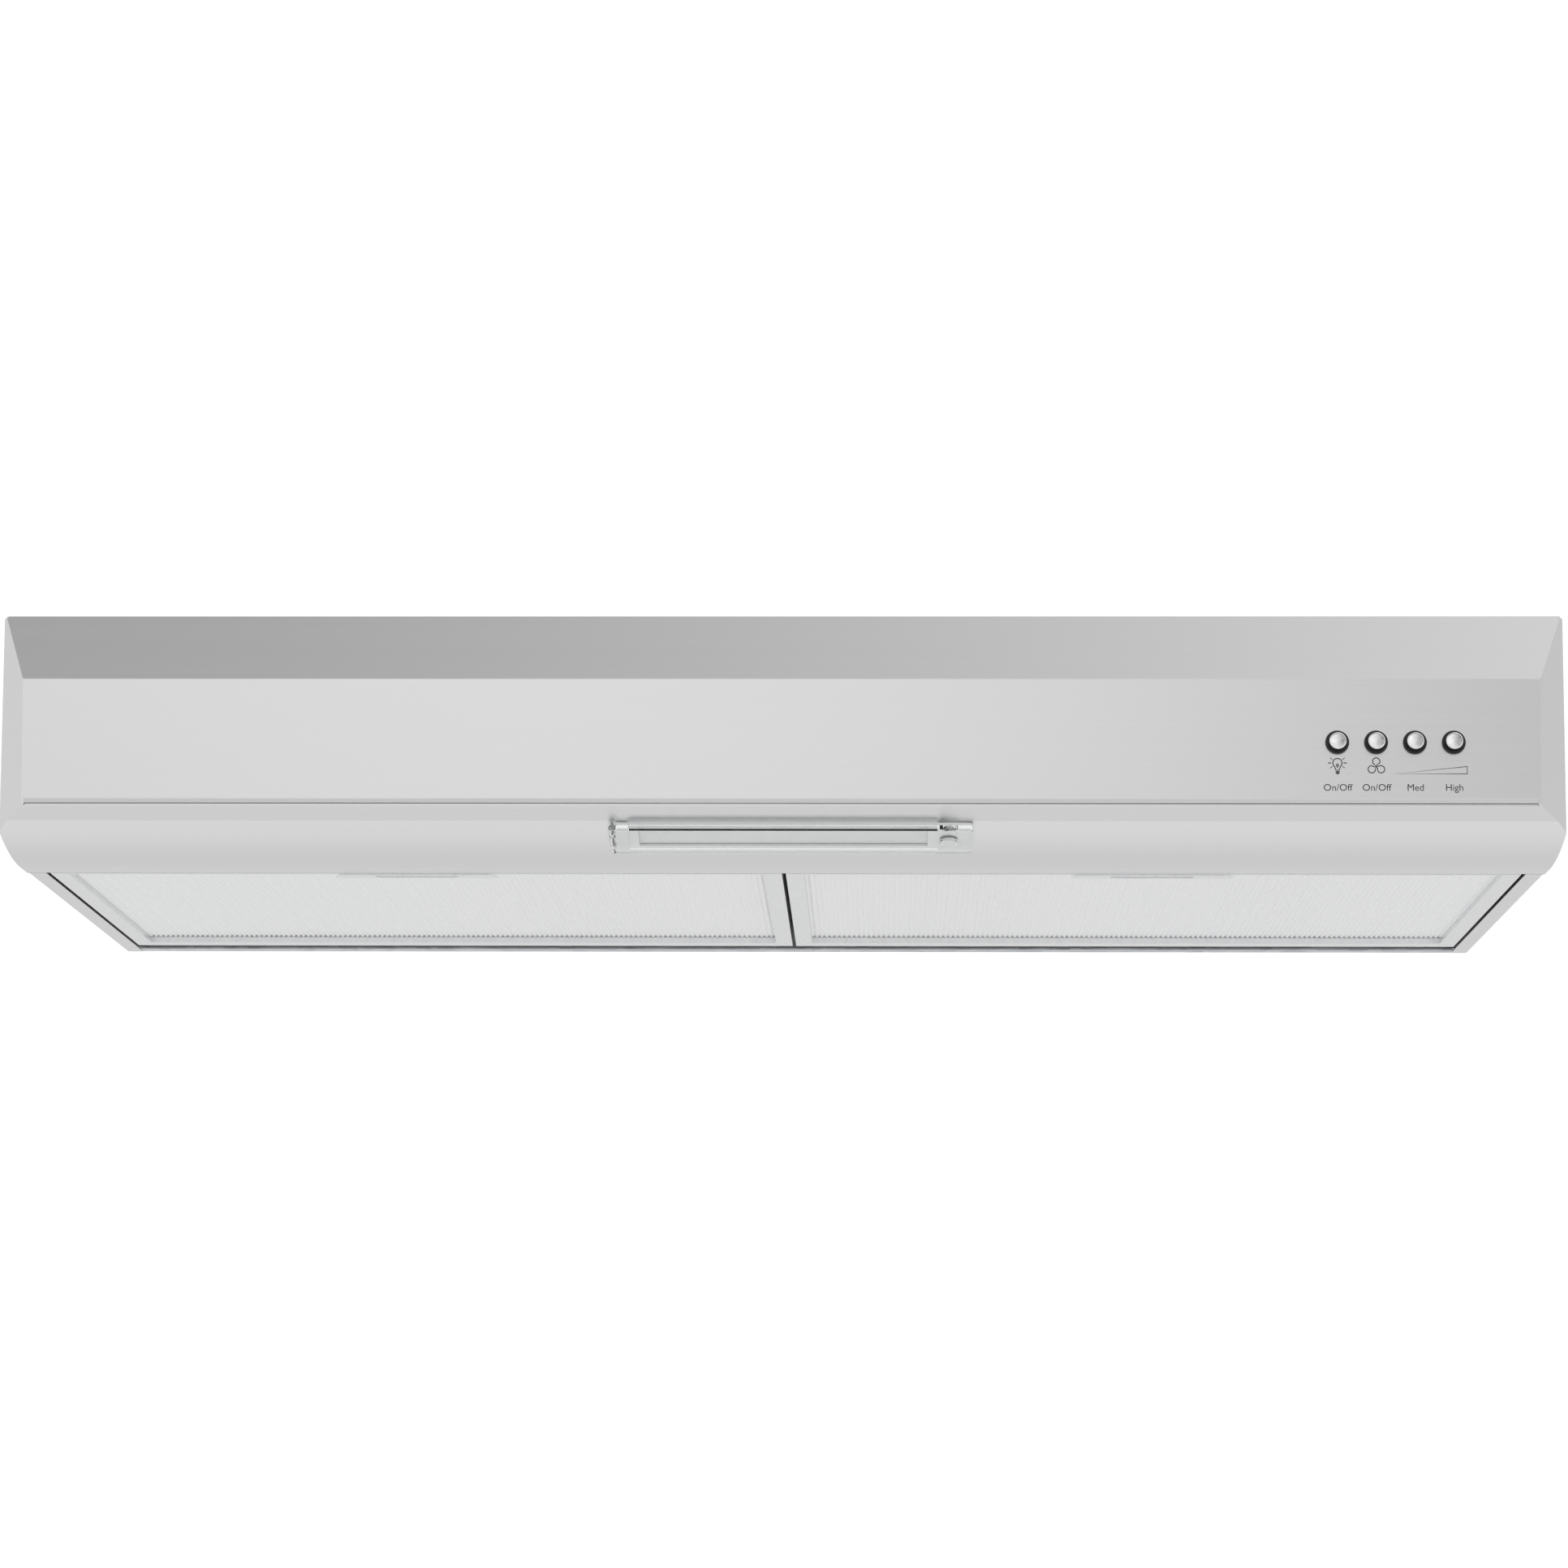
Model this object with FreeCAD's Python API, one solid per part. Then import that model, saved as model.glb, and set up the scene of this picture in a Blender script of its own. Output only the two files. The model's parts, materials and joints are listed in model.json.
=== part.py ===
import FreeCAD, Part
import math
import os

# Under cabinet range hood, in millimetres. +X is to the right, +Y towards the wall, +Z up.
# The origin is the centre of the four cabinet screw slots, on the top face.

# ---- Driving dimensions: casing ----
WIDTH = 759.0
DEPTH = 458.0
HEIGHT = 115.0
SHEET = 1.0
FASCIA_HALF_WIDTH = WIDTH / 2 - 16.0
TAPER_START = 1.5
TAPER_DEPTH = 36.0
FASCIA_TOP = 79.0
FASCIA_LEAN = 3.0
BAND_DEPTH = 33.0
HEM_HEIGHT = 18.0
HEM_LIP = 14.0
FRONT_FLANGE = 12.0
HEM_RADIUS = 2.5
BEND_RADIUS = 1.6
BAND_RADIUS = 3.0
CORNER_RADIUS = 5.0
SEAM_OVERLAP = 10.0

# ---- Driving dimensions: underside panel ----
PANEL_FRONT = 1.5
CREASE_DEPTH = 24.0
CREASE_HEIGHT = 13.0
PANEL_DEPTH = 120.0
PANEL_FLAT = 20.0
PANEL_FLANGE = 14.0
PANEL_SEAM = 0.25
SIDE_FLANGE = 9.5
REAR_FLANGE = 14.0

# ---- Driving dimensions: mounting ----
SLOT_SPACING_X = WIDTH - 99.0
SLOT_SPACING_Y = 250.0
SLOT_WIDTH = 5.0
SLOT_LENGTH = 12.0
KNOCKOUT_RADIUS = 11.1
KNOCKOUT_X = WIDTH / 2 - 149.5
KNOCKOUT_Y = -50.0
ENTRY_PLATE = (60.0, 44.0)
ENTRY_WINDOW = (50.0, 34.0)

# ---- Driving dimensions: duct ----
COLLAR_WIDTH = 254.0
COLLAR_DEPTH = 82.5
COLLAR_HEIGHT = 40.0
COLLAR_FLANGE = 16.0
COLLAR_Y = DEPTH / 2 - 61.75
COLLAR_GAP = 0.25
FLAP_HEIGHT = 9.0
FLAP_GAP = 1.5
FLAP_PIN_RADIUS = 1.5
REAR_COVER_BORDER = 10.0
REAR_OUTLET_HEIGHT = 58.0

# ---- Driving dimensions: filters ----
FILTER_GAP = 1.0
FILTER_SIDE_GAP = 2.0
FILTER_END = DEPTH - 30.0
FILTER_THICK = 9.0
FILTER_BORDER = 9.0
FILTER_FRONT_BORDER = 3.0
FILTER_REAR_BORDER = 14.0
PAD_GROOVE = 2.0
PAD_THICK = 5.0
MESH_THICK = 0.4
MESH_PITCH = 5.8
TAB_WIDTH = 84.0
TAB_DEPTH = 12.0
TAB_THICK = 0.6
TAB_SLOT = (42.0, 6.0)
TAB_POCKET_DEPTH = 6.0
WIRE_RADIUS = 1.5
WIRE_DEPTH = DEPTH - 25.0
WIRE_HEIGHT = 10.0
EAR_WIDTH = 12.0
EAR_INSET = 20.0
HOOK_WIDTH = 8.0
HOOK_INSET = 70.0
RAIL_DEPTH = DEPTH - 6.0
RAIL_HEIGHT = 20.0
CLIP_INSET = 60.0
CLIP_WIDTH = 14.0

# ---- Driving dimensions: lamp ----
LAMP_X = 5.0
LAMP_DEPTH = 40.4
LENS_LENGTH = 176.0
LENS_WIDTH = 28.0
LENS_DROP = 3.3
LENS_WALL = 1.5
LENS_CORNER = 2.0
LENS_LEFT_FLANGE = 8.0
LENS_RIGHT_FLANGE = 15.5
LENS_GAP = 0.3
LAMP_WINDOW = (140.0, LENS_WIDTH - 7.0)
REFLECTOR_FOOT = 1.8
REFLECTOR_HEIGHT = 24.0
REFLECTOR_BRIM = 3.0
BOARD_SIZE = (126.0, LENS_WIDTH - 12.0, 1.6)
DIFFUSER_THICK = 2.0
EMITTER_COUNT = 6
EMITTER_PITCH = 20.0
LENS_PIN_RADIUS = 0.7
LENS_PIN_LENGTH = LENS_WIDTH - 6.0
LENS_BARREL = (LENS_DROP - LENS_GAP) / 2
LENS_LUG_OFFSET = LENS_WIDTH / 4
LENS_LUG_WIDTH = 2.4
LENS_LUG_RADIUS = 1.3
LENS_SCREW_IN = 11.5
LENS_SCREW_LENGTH = 7.0

# ---- Driving dimensions: switches ----
BUTTON_FIRST_X = WIDTH / 2 - 113.1
BUTTON_PITCH = 18.5
BUTTON_HEIGHT = 47.7
BUTTON_NAMES = ("lamp", "fan", "medium", "high")
CAP_RADIUS = 4.1
CAP_PROUD = 5.0
CAP_TAIL = 2.0
BEZEL_RADIUS = 5.65
BEZEL_NECK = 4.9
BEZEL_PROUD = 1.2
PLUNGER_RADIUS = 3.1
PLUNGER_LENGTH = 11.0
BUTTON_TRAVEL = 3.0
SWITCH_FRONT = 6.5
SWITCH_SIZE = (84.0, 24.0, 26.0)

# ---- Driving dimensions: blower ----
AXLE_Y = DEPTH / 2 - 119.0
AXLE_Z = -54.0
WHEEL_RADIUS = 38.0
WHEEL_EYE = 30.0
WHEEL_LENGTH = 62.0
WHEEL_PLATE = 1.5
BLADE_COUNT = 28
BLADE_THICK = 0.8
SCROLL_INNER = 46.0
SCROLL_WIDTH = 80.0
SCROLL_FRONT = AXLE_Y - 42.0
SCROLL_TONGUE = AXLE_Y + 16.0
SCROLL_REAR = AXLE_Y + 97.5
SCROLL_ROOF = -12.0
SCROLL_FLOOR = -99.0
SCROLL_CURVE = 42.0
TONGUE_RADIUS = 3.0
INLET_RADIUS = 33.0
INLET_LIP = 5.0
SHAFT_RADIUS = 4.0
HUB_RADIUS = 9.0
HUB_LENGTH = 14.0
MOTOR_RADIUS = 34.0
MOTOR_LENGTH = 66.0
MOTOR_SHELL = 1.5
ROTOR_RADIUS = 21.0
ROTOR_LENGTH = 28.0
AIR_GAP = 0.5
WINDING_LENGTH = 8.0
BUSH_RADIUS = 8.0
BUSH_LENGTH = 8.0
MOUNT_RADIUS = 4.0
MOUNT_CIRCLE = 26.0

# ---- Driving dimensions: wiring ----
BOX_SIZE = (110.0, 80.0, 42.0)
CABLE_RADIUS = 3.0
CAPACITOR_RADIUS = 15.0
CAPACITOR_LENGTH = 55.0
CAPACITOR_X = -170.0
CAPACITOR_Y = -40.0
STRAP_WIDTH = 14.0
STRAP_FOOT = 12.0
STRAP_THICK_SHARE = 0.8
STUD_RADIUS = 1.5
STUD_LENGTH = 8.0
STUD_OFFSET = 6.0
BRACKET_FOOT = 12.0
BOX_EXIT_PITCH = 20.0
BLADE_LEAN = 20.0

# ---- Clearances ----
RUNNING = 0.05
BUTTON_CLEARANCE = 0.1
EASY = 0.5
FREE = 1.5
SMALL = 1e-6

FILTERS = ("left", "right")
INSIDE_TOP = -SHEET
BLOWER_TOP = INSIDE_TOP - SHEET
V = FreeCAD.Vector
ALONG_X = V(1, 0, 0)
ALONG_Y = V(0, 1, 0)
ALONG_Z = V(0, 0, 1)


# ---- Places ----
def rear(depth):
    """The y of a point this far behind the foot of the fascia."""
    return depth - DEPTH / 2


def above(height):
    """The z of a point this far above the bottom plane."""
    return height - HEIGHT


# ---- Shapes ----
def block(low, high):
    """A box between two corners."""
    return Part.makeBox(high[0] - low[0], high[1] - low[1], high[2] - low[2], V(*low))


def rod(radius, length, start, axis):
    """A round bar from a start point."""
    return Part.makeCylinder(radius, length, start, axis)


def group(shapes):
    """Several separate solids in one node."""
    return Part.makeCompound(list(shapes))


def joined(shapes):
    """One solid made from touching shapes."""
    first = shapes[0]
    return first.fuse(list(shapes[1:])).removeSplitter()


def mirrored(shape):
    """The same shape on the other side of the centre plane."""
    return shape.mirror(V(0, 0, 0), ALONG_X)


def on_side(shape, side):
    """The right-hand shape as it is, or its left-hand twin."""
    return mirrored(shape) if side == "left" else shape


def save(node, shape):
    """Write one closed, valid node."""
    for solid in shape.Solids:
        if not solid.isValid() or solid.Volume < SMALL:
            raise ValueError(node + " holds a bad solid")
    shape.exportStep("parts/" + node + ".step")
    print(node, len(shape.Solids), round(shape.Volume))


# ---- Bent sheet ----
def in_profile(a, b):
    """A point of a front-to-back section, given as depth behind the fascia and height."""
    return V(0, rear(a), above(b))


def in_plan(a, b):
    """A point of a plan outline, given as x and depth behind the fascia."""
    return V(a, rear(b), 0)


def in_width(a, b):
    """A point of a left-to-right section, given as x and height."""
    return V(a, 0, above(b))


def in_frame_yz(a, b):
    """A point of a front-to-back section, given as y and z."""
    return V(0, a, b)


def in_frame_xy(a, b):
    """A point of a plan section, given as x and y."""
    return V(a, b, 0)


def rounded_edges(points, radii):
    """Straight runs joined by tangent arcs; radii has one value for each inner corner."""
    edges = []
    start = points[0]
    for before, corner, after, radius in zip(points, points[1:], points[2:], radii):
        into = (corner - before).normalize()
        out = (after - corner).normalize()
        turn = into.getAngle(out)
        setback = radius * math.tan(turn / 2)
        first = corner - into * setback
        last = corner + out * setback
        if (first - start).Length > SMALL:
            edges.append(Part.LineSegment(start, first).toShape())
        if setback > SMALL:
            inward = (out - into).normalize()
            middle = corner + inward * (radius / math.cos(turn / 2) - radius)
            edges.append(Part.Arc(first, middle, last).toShape())
        start = last
    edges.append(Part.LineSegment(start, points[-1]).toShape())
    return edges


def shifted(points, gap):
    """A flat line of points moved sideways to its left, with mitred corners."""
    moved = []
    count = len(points)
    for index in range(count):
        legs = []
        if index > 0:
            legs.append((points[index - 1], points[index]))
        if index < count - 1:
            legs.append((points[index], points[index + 1]))
        normals = []
        for tail, head in legs:
            length = math.hypot(head[0] - tail[0], head[1] - tail[1])
            normals.append(((tail[1] - head[1]) / length, (head[0] - tail[0]) / length))
        mean_a = sum(n[0] for n in normals) / len(normals)
        mean_b = sum(n[1] for n in normals) / len(normals)
        scale = gap / (mean_a * mean_a + mean_b * mean_b)
        moved.append((points[index][0] + mean_a * scale, points[index][1] + mean_b * scale))
    return moved


def bend_sides(points):
    """+1 for each inner corner that turns left and -1 for each that turns right."""
    sides = []
    for before, corner, after in zip(points, points[1:], points[2:]):
        into = (corner[0] - before[0], corner[1] - before[1])
        out = (after[0] - corner[0], after[1] - corner[1])
        sides.append(math.copysign(1.0, into[0] * out[1] - into[1] * out[0]))
    return sides


def strip(points, radii, gap, place):
    """The cut face of a bent sheet: a line, the same line moved sideways by gap, and two ends."""
    other = shifted(points, gap)
    inner = [max(r - gap * side, 0.0) for r, side in zip(radii, bend_sides(points))]
    edges = rounded_edges([place(*p) for p in points], radii)
    edges += rounded_edges([place(*p) for p in other], inner)
    edges.append(Part.LineSegment(place(*points[0]), place(*other[0])).toShape())
    edges.append(Part.LineSegment(place(*points[-1]), place(*other[-1])).toShape())
    return Part.Face(Part.Wire(Part.__sortEdges__(edges)))


def outline(points, radii, place):
    """A closed flat face; the first and last points stay sharp."""
    edges = rounded_edges([place(*p) for p in points], radii)
    edges.append(Part.LineSegment(place(*points[-1]), place(*points[0])).toShape())
    return Part.Face(Part.Wire(Part.__sortEdges__(edges)))


def pushed(face, low, high, axis):
    """A solid from a flat face, between two distances along an axis."""
    start = face.copy()
    start.translate(axis * low)
    return start.extrude(axis * (high - low))


# ---- The casing's outlines ----
TAPER_SLOPE = (WIDTH / 2 - FASCIA_HALF_WIDTH) / (TAPER_DEPTH - TAPER_START)
AHEAD = 10.0
FRONT_LINE = [
    (HEM_LIP, HEM_HEIGHT),
    (0.0, HEM_HEIGHT),
    (FASCIA_LEAN, FASCIA_TOP),
    (BAND_DEPTH, HEIGHT),
    (BAND_DEPTH + FRONT_FLANGE, HEIGHT),
]
FRONT_RADII = [HEM_RADIUS, BEND_RADIUS, BAND_RADIUS]
ARC_RUN = PANEL_DEPTH - PANEL_FLAT - CREASE_DEPTH
ARC_REACH = (ARC_RUN ** 2 + CREASE_HEIGHT ** 2) / (2 * ARC_RUN)
ARC_TURN = math.asin(CREASE_HEIGHT / ARC_REACH)
ARC_RADIUS = ARC_REACH / math.tan(ARC_TURN / 2)
PANEL_LINE = [
    (PANEL_FRONT, HEM_HEIGHT - SHEET),
    (CREASE_DEPTH, CREASE_HEIGHT),
    (PANEL_DEPTH - PANEL_FLAT - ARC_REACH, 0.0),
    (PANEL_DEPTH, 0.0),
    (PANEL_DEPTH, PANEL_FLANGE),
]
PANEL_RADII = [0.0, ARC_RADIUS, BEND_RADIUS]


def side_line():
    """The right side in plan: the taper, then the straight wall, as x and depth."""
    ahead_x = WIDTH / 2 - TAPER_SLOPE * (TAPER_DEPTH + AHEAD)
    return [(ahead_x, -AHEAD), (WIDTH / 2, TAPER_DEPTH), (WIDTH / 2, DEPTH)]


def between_sides():
    """The space between the two side walls' inner faces, from below the hood to above it."""
    right = shifted(side_line(), SHEET)
    left = [(-x, d) for x, d in reversed(right)]
    corner = CORNER_RADIUS - SHEET
    face = outline(right + left, [corner, 0.0, 0.0, corner], in_plan)
    return pushed(face, -2 * HEIGHT, HEIGHT, ALONG_Z)


def side_silhouette():
    """What the side walls are trimmed to, seen from the side."""
    points = [
        (DEPTH, 0.0),
        PANEL_LINE[2],
        PANEL_LINE[1],
        PANEL_LINE[0],
        (0.0, HEM_HEIGHT),
        (FASCIA_LEAN, FASCIA_TOP),
        (BAND_DEPTH - SHEET, HEIGHT - SHEET),
        (DEPTH, HEIGHT - SHEET),
    ]
    radii = [ARC_RADIUS, 0.0, 0.0, 0.0, BEND_RADIUS, 0.0]
    return pushed(outline(points, radii, in_profile), -WIDTH, WIDTH, ALONG_X)


# ---- Places on the fascia and on the underside panel ----
FASCIA_TILT = math.degrees(math.atan(FASCIA_LEAN / (FASCIA_TOP - HEM_HEIGHT)))
BUTTON_SETBACK = FASCIA_LEAN * (BUTTON_HEIGHT - HEM_HEIGHT) / (FASCIA_TOP - HEM_HEIGHT)
FASCIA_PLACE = FreeCAD.Placement(
    V(0, rear(BUTTON_SETBACK), above(BUTTON_HEIGHT)),
    FreeCAD.Rotation(ALONG_X, -FASCIA_TILT),
)


def panel_drop(depth):
    """The height of the underside panel's lower face at a depth behind the fascia."""
    along = max(PANEL_DEPTH - PANEL_FLAT - depth, 0.0)
    return ARC_RADIUS - math.sqrt(ARC_RADIUS ** 2 - along ** 2)


LENS_FRONT_HEIGHT = panel_drop(LAMP_DEPTH - LENS_WIDTH / 2)
LENS_REAR_HEIGHT = panel_drop(LAMP_DEPTH + LENS_WIDTH / 2)
LAMP_TILT = math.degrees(math.atan((LENS_FRONT_HEIGHT - LENS_REAR_HEIGHT) / LENS_WIDTH))
LAMP_PLACE = FreeCAD.Placement(
    V(LAMP_X, rear(LAMP_DEPTH), above(panel_drop(LAMP_DEPTH))),
    FreeCAD.Rotation(ALONG_X, -LAMP_TILT),
)


def on_fascia(shape):
    """A shape drawn about the button line, with -Y out of the fascia, put on the fascia."""
    moved = shape.copy()
    moved.Placement = FASCIA_PLACE.multiply(moved.Placement)
    return moved


def on_lamp(shape):
    """A shape drawn about the lamp's centre, with -Z out of the panel, put on the panel."""
    moved = shape.copy()
    moved.Placement = LAMP_PLACE.multiply(moved.Placement)
    return moved


# ---- Openings and screws that several pieces share ----
WINDOW_X = COLLAR_WIDTH / 2 + COLLAR_GAP
WINDOW_Y = COLLAR_DEPTH / 2 + COLLAR_GAP
SEAM_SCREWS_X = (-300.0, -100.0, 100.0, 300.0)
SCREW_SHANK = 2.0
SCREW_HEAD = 4.0
SCREW_HEAD_HEIGHT = 2.2
SEAM_SCREW_Y = rear(BAND_DEPTH + FRONT_FLANGE / 2)
BUTTON_PLACES = [BUTTON_FIRST_X + BUTTON_PITCH * n for n in range(len(BUTTON_NAMES))]
BUTTON_MIDDLE = sum(BUTTON_PLACES) / len(BUTTON_PLACES)


def duct_window(low, high):
    """The rectangular hole for the duct, between two heights."""
    x, y = WINDOW_X, WINDOW_Y
    return block((-x, COLLAR_Y - y, low), (x, COLLAR_Y + y, high))


def cabinet_slot(x, y):
    """One obround hole for a cabinet screw."""
    half = SLOT_LENGTH / 2 - SLOT_WIDTH / 2
    ends = [rod(SLOT_WIDTH / 2, 2 * SHEET, V(x + s * half, y, -1.5 * SHEET), ALONG_Z)
            for s in (-1, 1)]
    middle = block((x - half, y - SLOT_WIDTH / 2, -1.5 * SHEET),
                   (x + half, y + SLOT_WIDTH / 2, SHEET / 2))
    return joined([ends[0], middle, ends[1]])


def screw(place, axis, shank, length):
    """A pan-head screw; its head starts at place and its shank runs along axis."""
    head = rod(SCREW_HEAD, SCREW_HEAD_HEIGHT, place - axis * SCREW_HEAD_HEIGHT, axis)
    rim = [e for e in head.Edges if abs(e.CenterOfMass.distanceToPoint(
        place - axis * SCREW_HEAD_HEIGHT)) < SMALL]
    return joined([head.makeFillet(SCREW_HEAD_HEIGHT / 2, rim), rod(shank, length, place, axis)])


def seam_screws():
    """Screws up through the top panel's lip into the front panel's flange."""
    low = -2 * SHEET
    return [screw(V(x, SEAM_SCREW_Y, low), ALONG_Z, SCREW_SHANK, 2 * SHEET)
            for x in SEAM_SCREWS_X]


def collar_screws():
    """Screws up through the collar's flange into the top panel."""
    x = COLLAR_WIDTH / 2 + COLLAR_FLANGE / 2
    y = COLLAR_DEPTH / 2 + COLLAR_FLANGE / 2
    return [screw(V(sx * x, COLLAR_Y + sy * y, BLOWER_TOP), ALONG_Z, SCREW_SHANK, 2 * SHEET)
            for sx in (-1, 1) for sy in (-1, 1)]


# ---- Casing ----
def top_panel():
    """The flat top, with a joggled lip under the front panel's flange."""
    seam = rear(BAND_DEPTH + FRONT_FLANGE)
    plate = block((-WIDTH / 2, seam, -SHEET), (WIDTH / 2, rear(DEPTH), 0))
    lip_x = WIDTH / 2 - SIDE_FLANGE - SHEET - EASY
    lip = block((-lip_x, seam - SEAM_OVERLAP, -2 * SHEET), (lip_x, seam + SHEET, -SHEET))
    shape = joined([plate, lip])
    half_x, half_y = SLOT_SPACING_X / 2, SLOT_SPACING_Y / 2
    holes = [cabinet_slot(sx * half_x, sy * half_y) for sx in (-1, 1) for sy in (-1, 1)]
    entry_x, entry_y = ENTRY_WINDOW[0] / 2, ENTRY_WINDOW[1] / 2
    holes.append(block((KNOCKOUT_X - entry_x, KNOCKOUT_Y - entry_y, -2 * SHEET),
                       (KNOCKOUT_X + entry_x, KNOCKOUT_Y + entry_y, SHEET)))
    holes.append(duct_window(-2 * SHEET, SHEET))
    return shape.cut(group(holes + seam_screws() + collar_screws()))


def front_panel():
    """The fascia and the sloping band in one bent sheet, with four button holes."""
    face = strip(FRONT_LINE, FRONT_RADII, -SHEET, in_profile)
    shape = pushed(face, -WIDTH / 2, WIDTH / 2, ALONG_X).common(between_sides())
    holes = [on_fascia(rod(BEZEL_NECK, 4 * SHEET, V(x, -2 * SHEET, 0), ALONG_Y))
             for x in BUTTON_PLACES]
    return shape.cut(group(holes + seam_screws()))


def side_panel(side):
    """One side: the tapered front corner, the straight wall and its top and bottom flanges."""
    corner = CORNER_RADIUS
    wall = pushed(strip(side_line(), [corner], SHEET, in_plan), -HEIGHT, -SHEET, ALONG_Z)
    wide, high = WIDTH / 2, HEIGHT - SHEET
    section = [(wide - SIDE_FLANGE, 0.0), (wide, 0.0), (wide, high), (wide - SIDE_FLANGE, high)]
    face = strip(section, [BEND_RADIUS, BEND_RADIUS], SHEET, in_width)
    start, seam = rear(TAPER_DEPTH + 2 * corner), rear(PANEL_DEPTH + PANEL_SEAM)
    middle = -HEIGHT / 2
    bend = wall.common(block((0, rear(-AHEAD), -HEIGHT), (wide, start, 0)))
    low_wall = wall.common(block((0, start, -HEIGHT), (wide, seam, middle)))
    flanges = pushed(face, start, rear(DEPTH), ALONG_Y)
    flanges = flanges.cut(block((0, rear(-AHEAD), -HEIGHT), (wide, seam, middle)))
    shape = joined([bend, low_wall, flanges]).common(side_silhouette())
    return on_side(shape, side)


def back_panel():
    """The wall side, with its bottom flange and the horizontal outlet's hole."""
    line = [(DEPTH - REAR_FLANGE, 0.0), (DEPTH, 0.0), (DEPTH, HEIGHT - SHEET)]
    wide = WIDTH / 2 - SHEET
    shape = pushed(strip(line, [BEND_RADIUS], SHEET, in_profile), -wide, wide, ALONG_X)
    middle, half = above(REAR_OUTLET_HEIGHT), WINDOW_Y
    hole = block((-WINDOW_X, rear(DEPTH) - 2 * SHEET, middle - half),
                 (WINDOW_X, rear(DEPTH) + SHEET, middle + half))
    return shape.cut(hole).cut(flange_notches(rear(DEPTH - REAR_FLANGE) - SHEET))


def flange_notches(y_from):
    """The corners that cross panels leave free for the side panels' flanges."""
    inner, outer = WIDTH / 2 - SIDE_FLANGE - EASY, WIDTH / 2
    room = BEND_RADIUS + SHEET
    low = block((inner, y_from, -HEIGHT), (outer, rear(DEPTH), -HEIGHT + room))
    high = block((inner, y_from, -SHEET - room), (outer, rear(DEPTH), 0))
    return group([low, high, mirrored(low), mirrored(high)])


def rear_duct_cover():
    """The plate that closes the horizontal outlet when the duct goes up."""
    middle = above(REAR_OUTLET_HEIGHT)
    x = WINDOW_X + REAR_COVER_BORDER
    z = WINDOW_Y + REAR_COVER_BORDER
    inner = rear(DEPTH) - SHEET
    return block((-x, inner - SHEET, middle - z), (x, inner, middle + z))


def lamp_cutters():
    """What the underside panel loses to the lamp: window, two lug slots and a screw hole."""
    x, y = LAMP_WINDOW[0] / 2, LAMP_WINDOW[1] / 2
    middle_x = lamp_middle_x()
    deep = 4 * SHEET
    window = block((middle_x - x, -y, -deep), (middle_x + x, y, deep))
    cutters = [window, rod(SCREW_SHANK + FREE / 2, 2 * deep, V(lens_screw_x(), 0, -deep), ALONG_Z)]
    return on_lamp(group(cutters + lug_bars(EASY / 2, -deep, deep)))


def light_panel():
    """The curved underside panel, from the hem to an upturned flange ahead of the filters."""
    face = strip(PANEL_LINE, PANEL_RADII, SHEET, in_profile)
    shape = pushed(face, -WIDTH / 2, WIDTH / 2, ALONG_X).common(between_sides())
    return shape.cut(lamp_cutters())


# ---- Switches ----
def button_bezel(x):
    """A black bush: a flange on the fascia and a neck through it."""
    body = joined([
        rod(BEZEL_RADIUS, BEZEL_PROUD, V(x, -BEZEL_PROUD, 0), ALONG_Y),
        rod(BEZEL_NECK, 3 * SHEET, V(x, 0, 0), ALONG_Y),
    ])
    bore = CAP_RADIUS + BUTTON_CLEARANCE
    return body.cut(rod(bore, 8 * SHEET, V(x, -2 * BEZEL_PROUD, 0), ALONG_Y))


def button_cap(x):
    """A turned metal cap with a chamfered rim."""
    body = rod(CAP_RADIUS, CAP_PROUD + CAP_TAIL, V(x, -CAP_PROUD, 0), ALONG_Y)
    front = V(x, -CAP_PROUD, 0)
    rim = [e for e in body.Edges if e.CenterOfMass.distanceToPoint(front) < SMALL]
    return body.makeChamfer(CAP_RADIUS / 6, rim)


def switch_block():
    """The switch body behind the fascia, with four blind holes for the plungers."""
    width, depth, height = SWITCH_SIZE
    low = (BUTTON_MIDDLE - width / 2, SWITCH_FRONT, -height / 2)
    high = (BUTTON_MIDDLE + width / 2, SWITCH_FRONT + depth, height / 2)
    bore = PLUNGER_RADIUS + BUTTON_CLEARANCE
    deep = CAP_TAIL + PLUNGER_LENGTH + BUTTON_TRAVEL + EASY - SWITCH_FRONT
    holes = [rod(bore, deep + SHEET, V(x, SWITCH_FRONT - SHEET, 0), ALONG_Y)
             for x in BUTTON_PLACES]
    return block(low, high).cut(group(holes))


def switch_bracket():
    """A bent strap that holds the switch block against the back of the fascia."""
    half = SWITCH_SIZE[0] / 2
    back = SWITCH_FRONT + SWITCH_SIZE[1]
    foot = BRACKET_FOOT
    line = [
        (BUTTON_MIDDLE - half - foot, SHEET),
        (BUTTON_MIDDLE - half, SHEET),
        (BUTTON_MIDDLE - half, back),
        (BUTTON_MIDDLE + half, back),
        (BUTTON_MIDDLE + half, SHEET),
        (BUTTON_MIDDLE + half + foot, SHEET),
    ]
    face = strip(line, [0.0] * 4, SHEET, in_frame_xy)
    return pushed(face, -SWITCH_SIZE[2] / 3, SWITCH_SIZE[2] / 3, ALONG_Z)


# ---- Lamp ----
def lens_screw_x():
    """The captive screw's place along the lens."""
    return LENS_LENGTH / 2 - LENS_SCREW_IN


def lens_pin_place():
    """The x and z of the lens hinge, in the lamp's own frame."""
    return -LENS_LENGTH / 2 + LENS_BARREL, -LENS_GAP - LENS_BARREL


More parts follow.
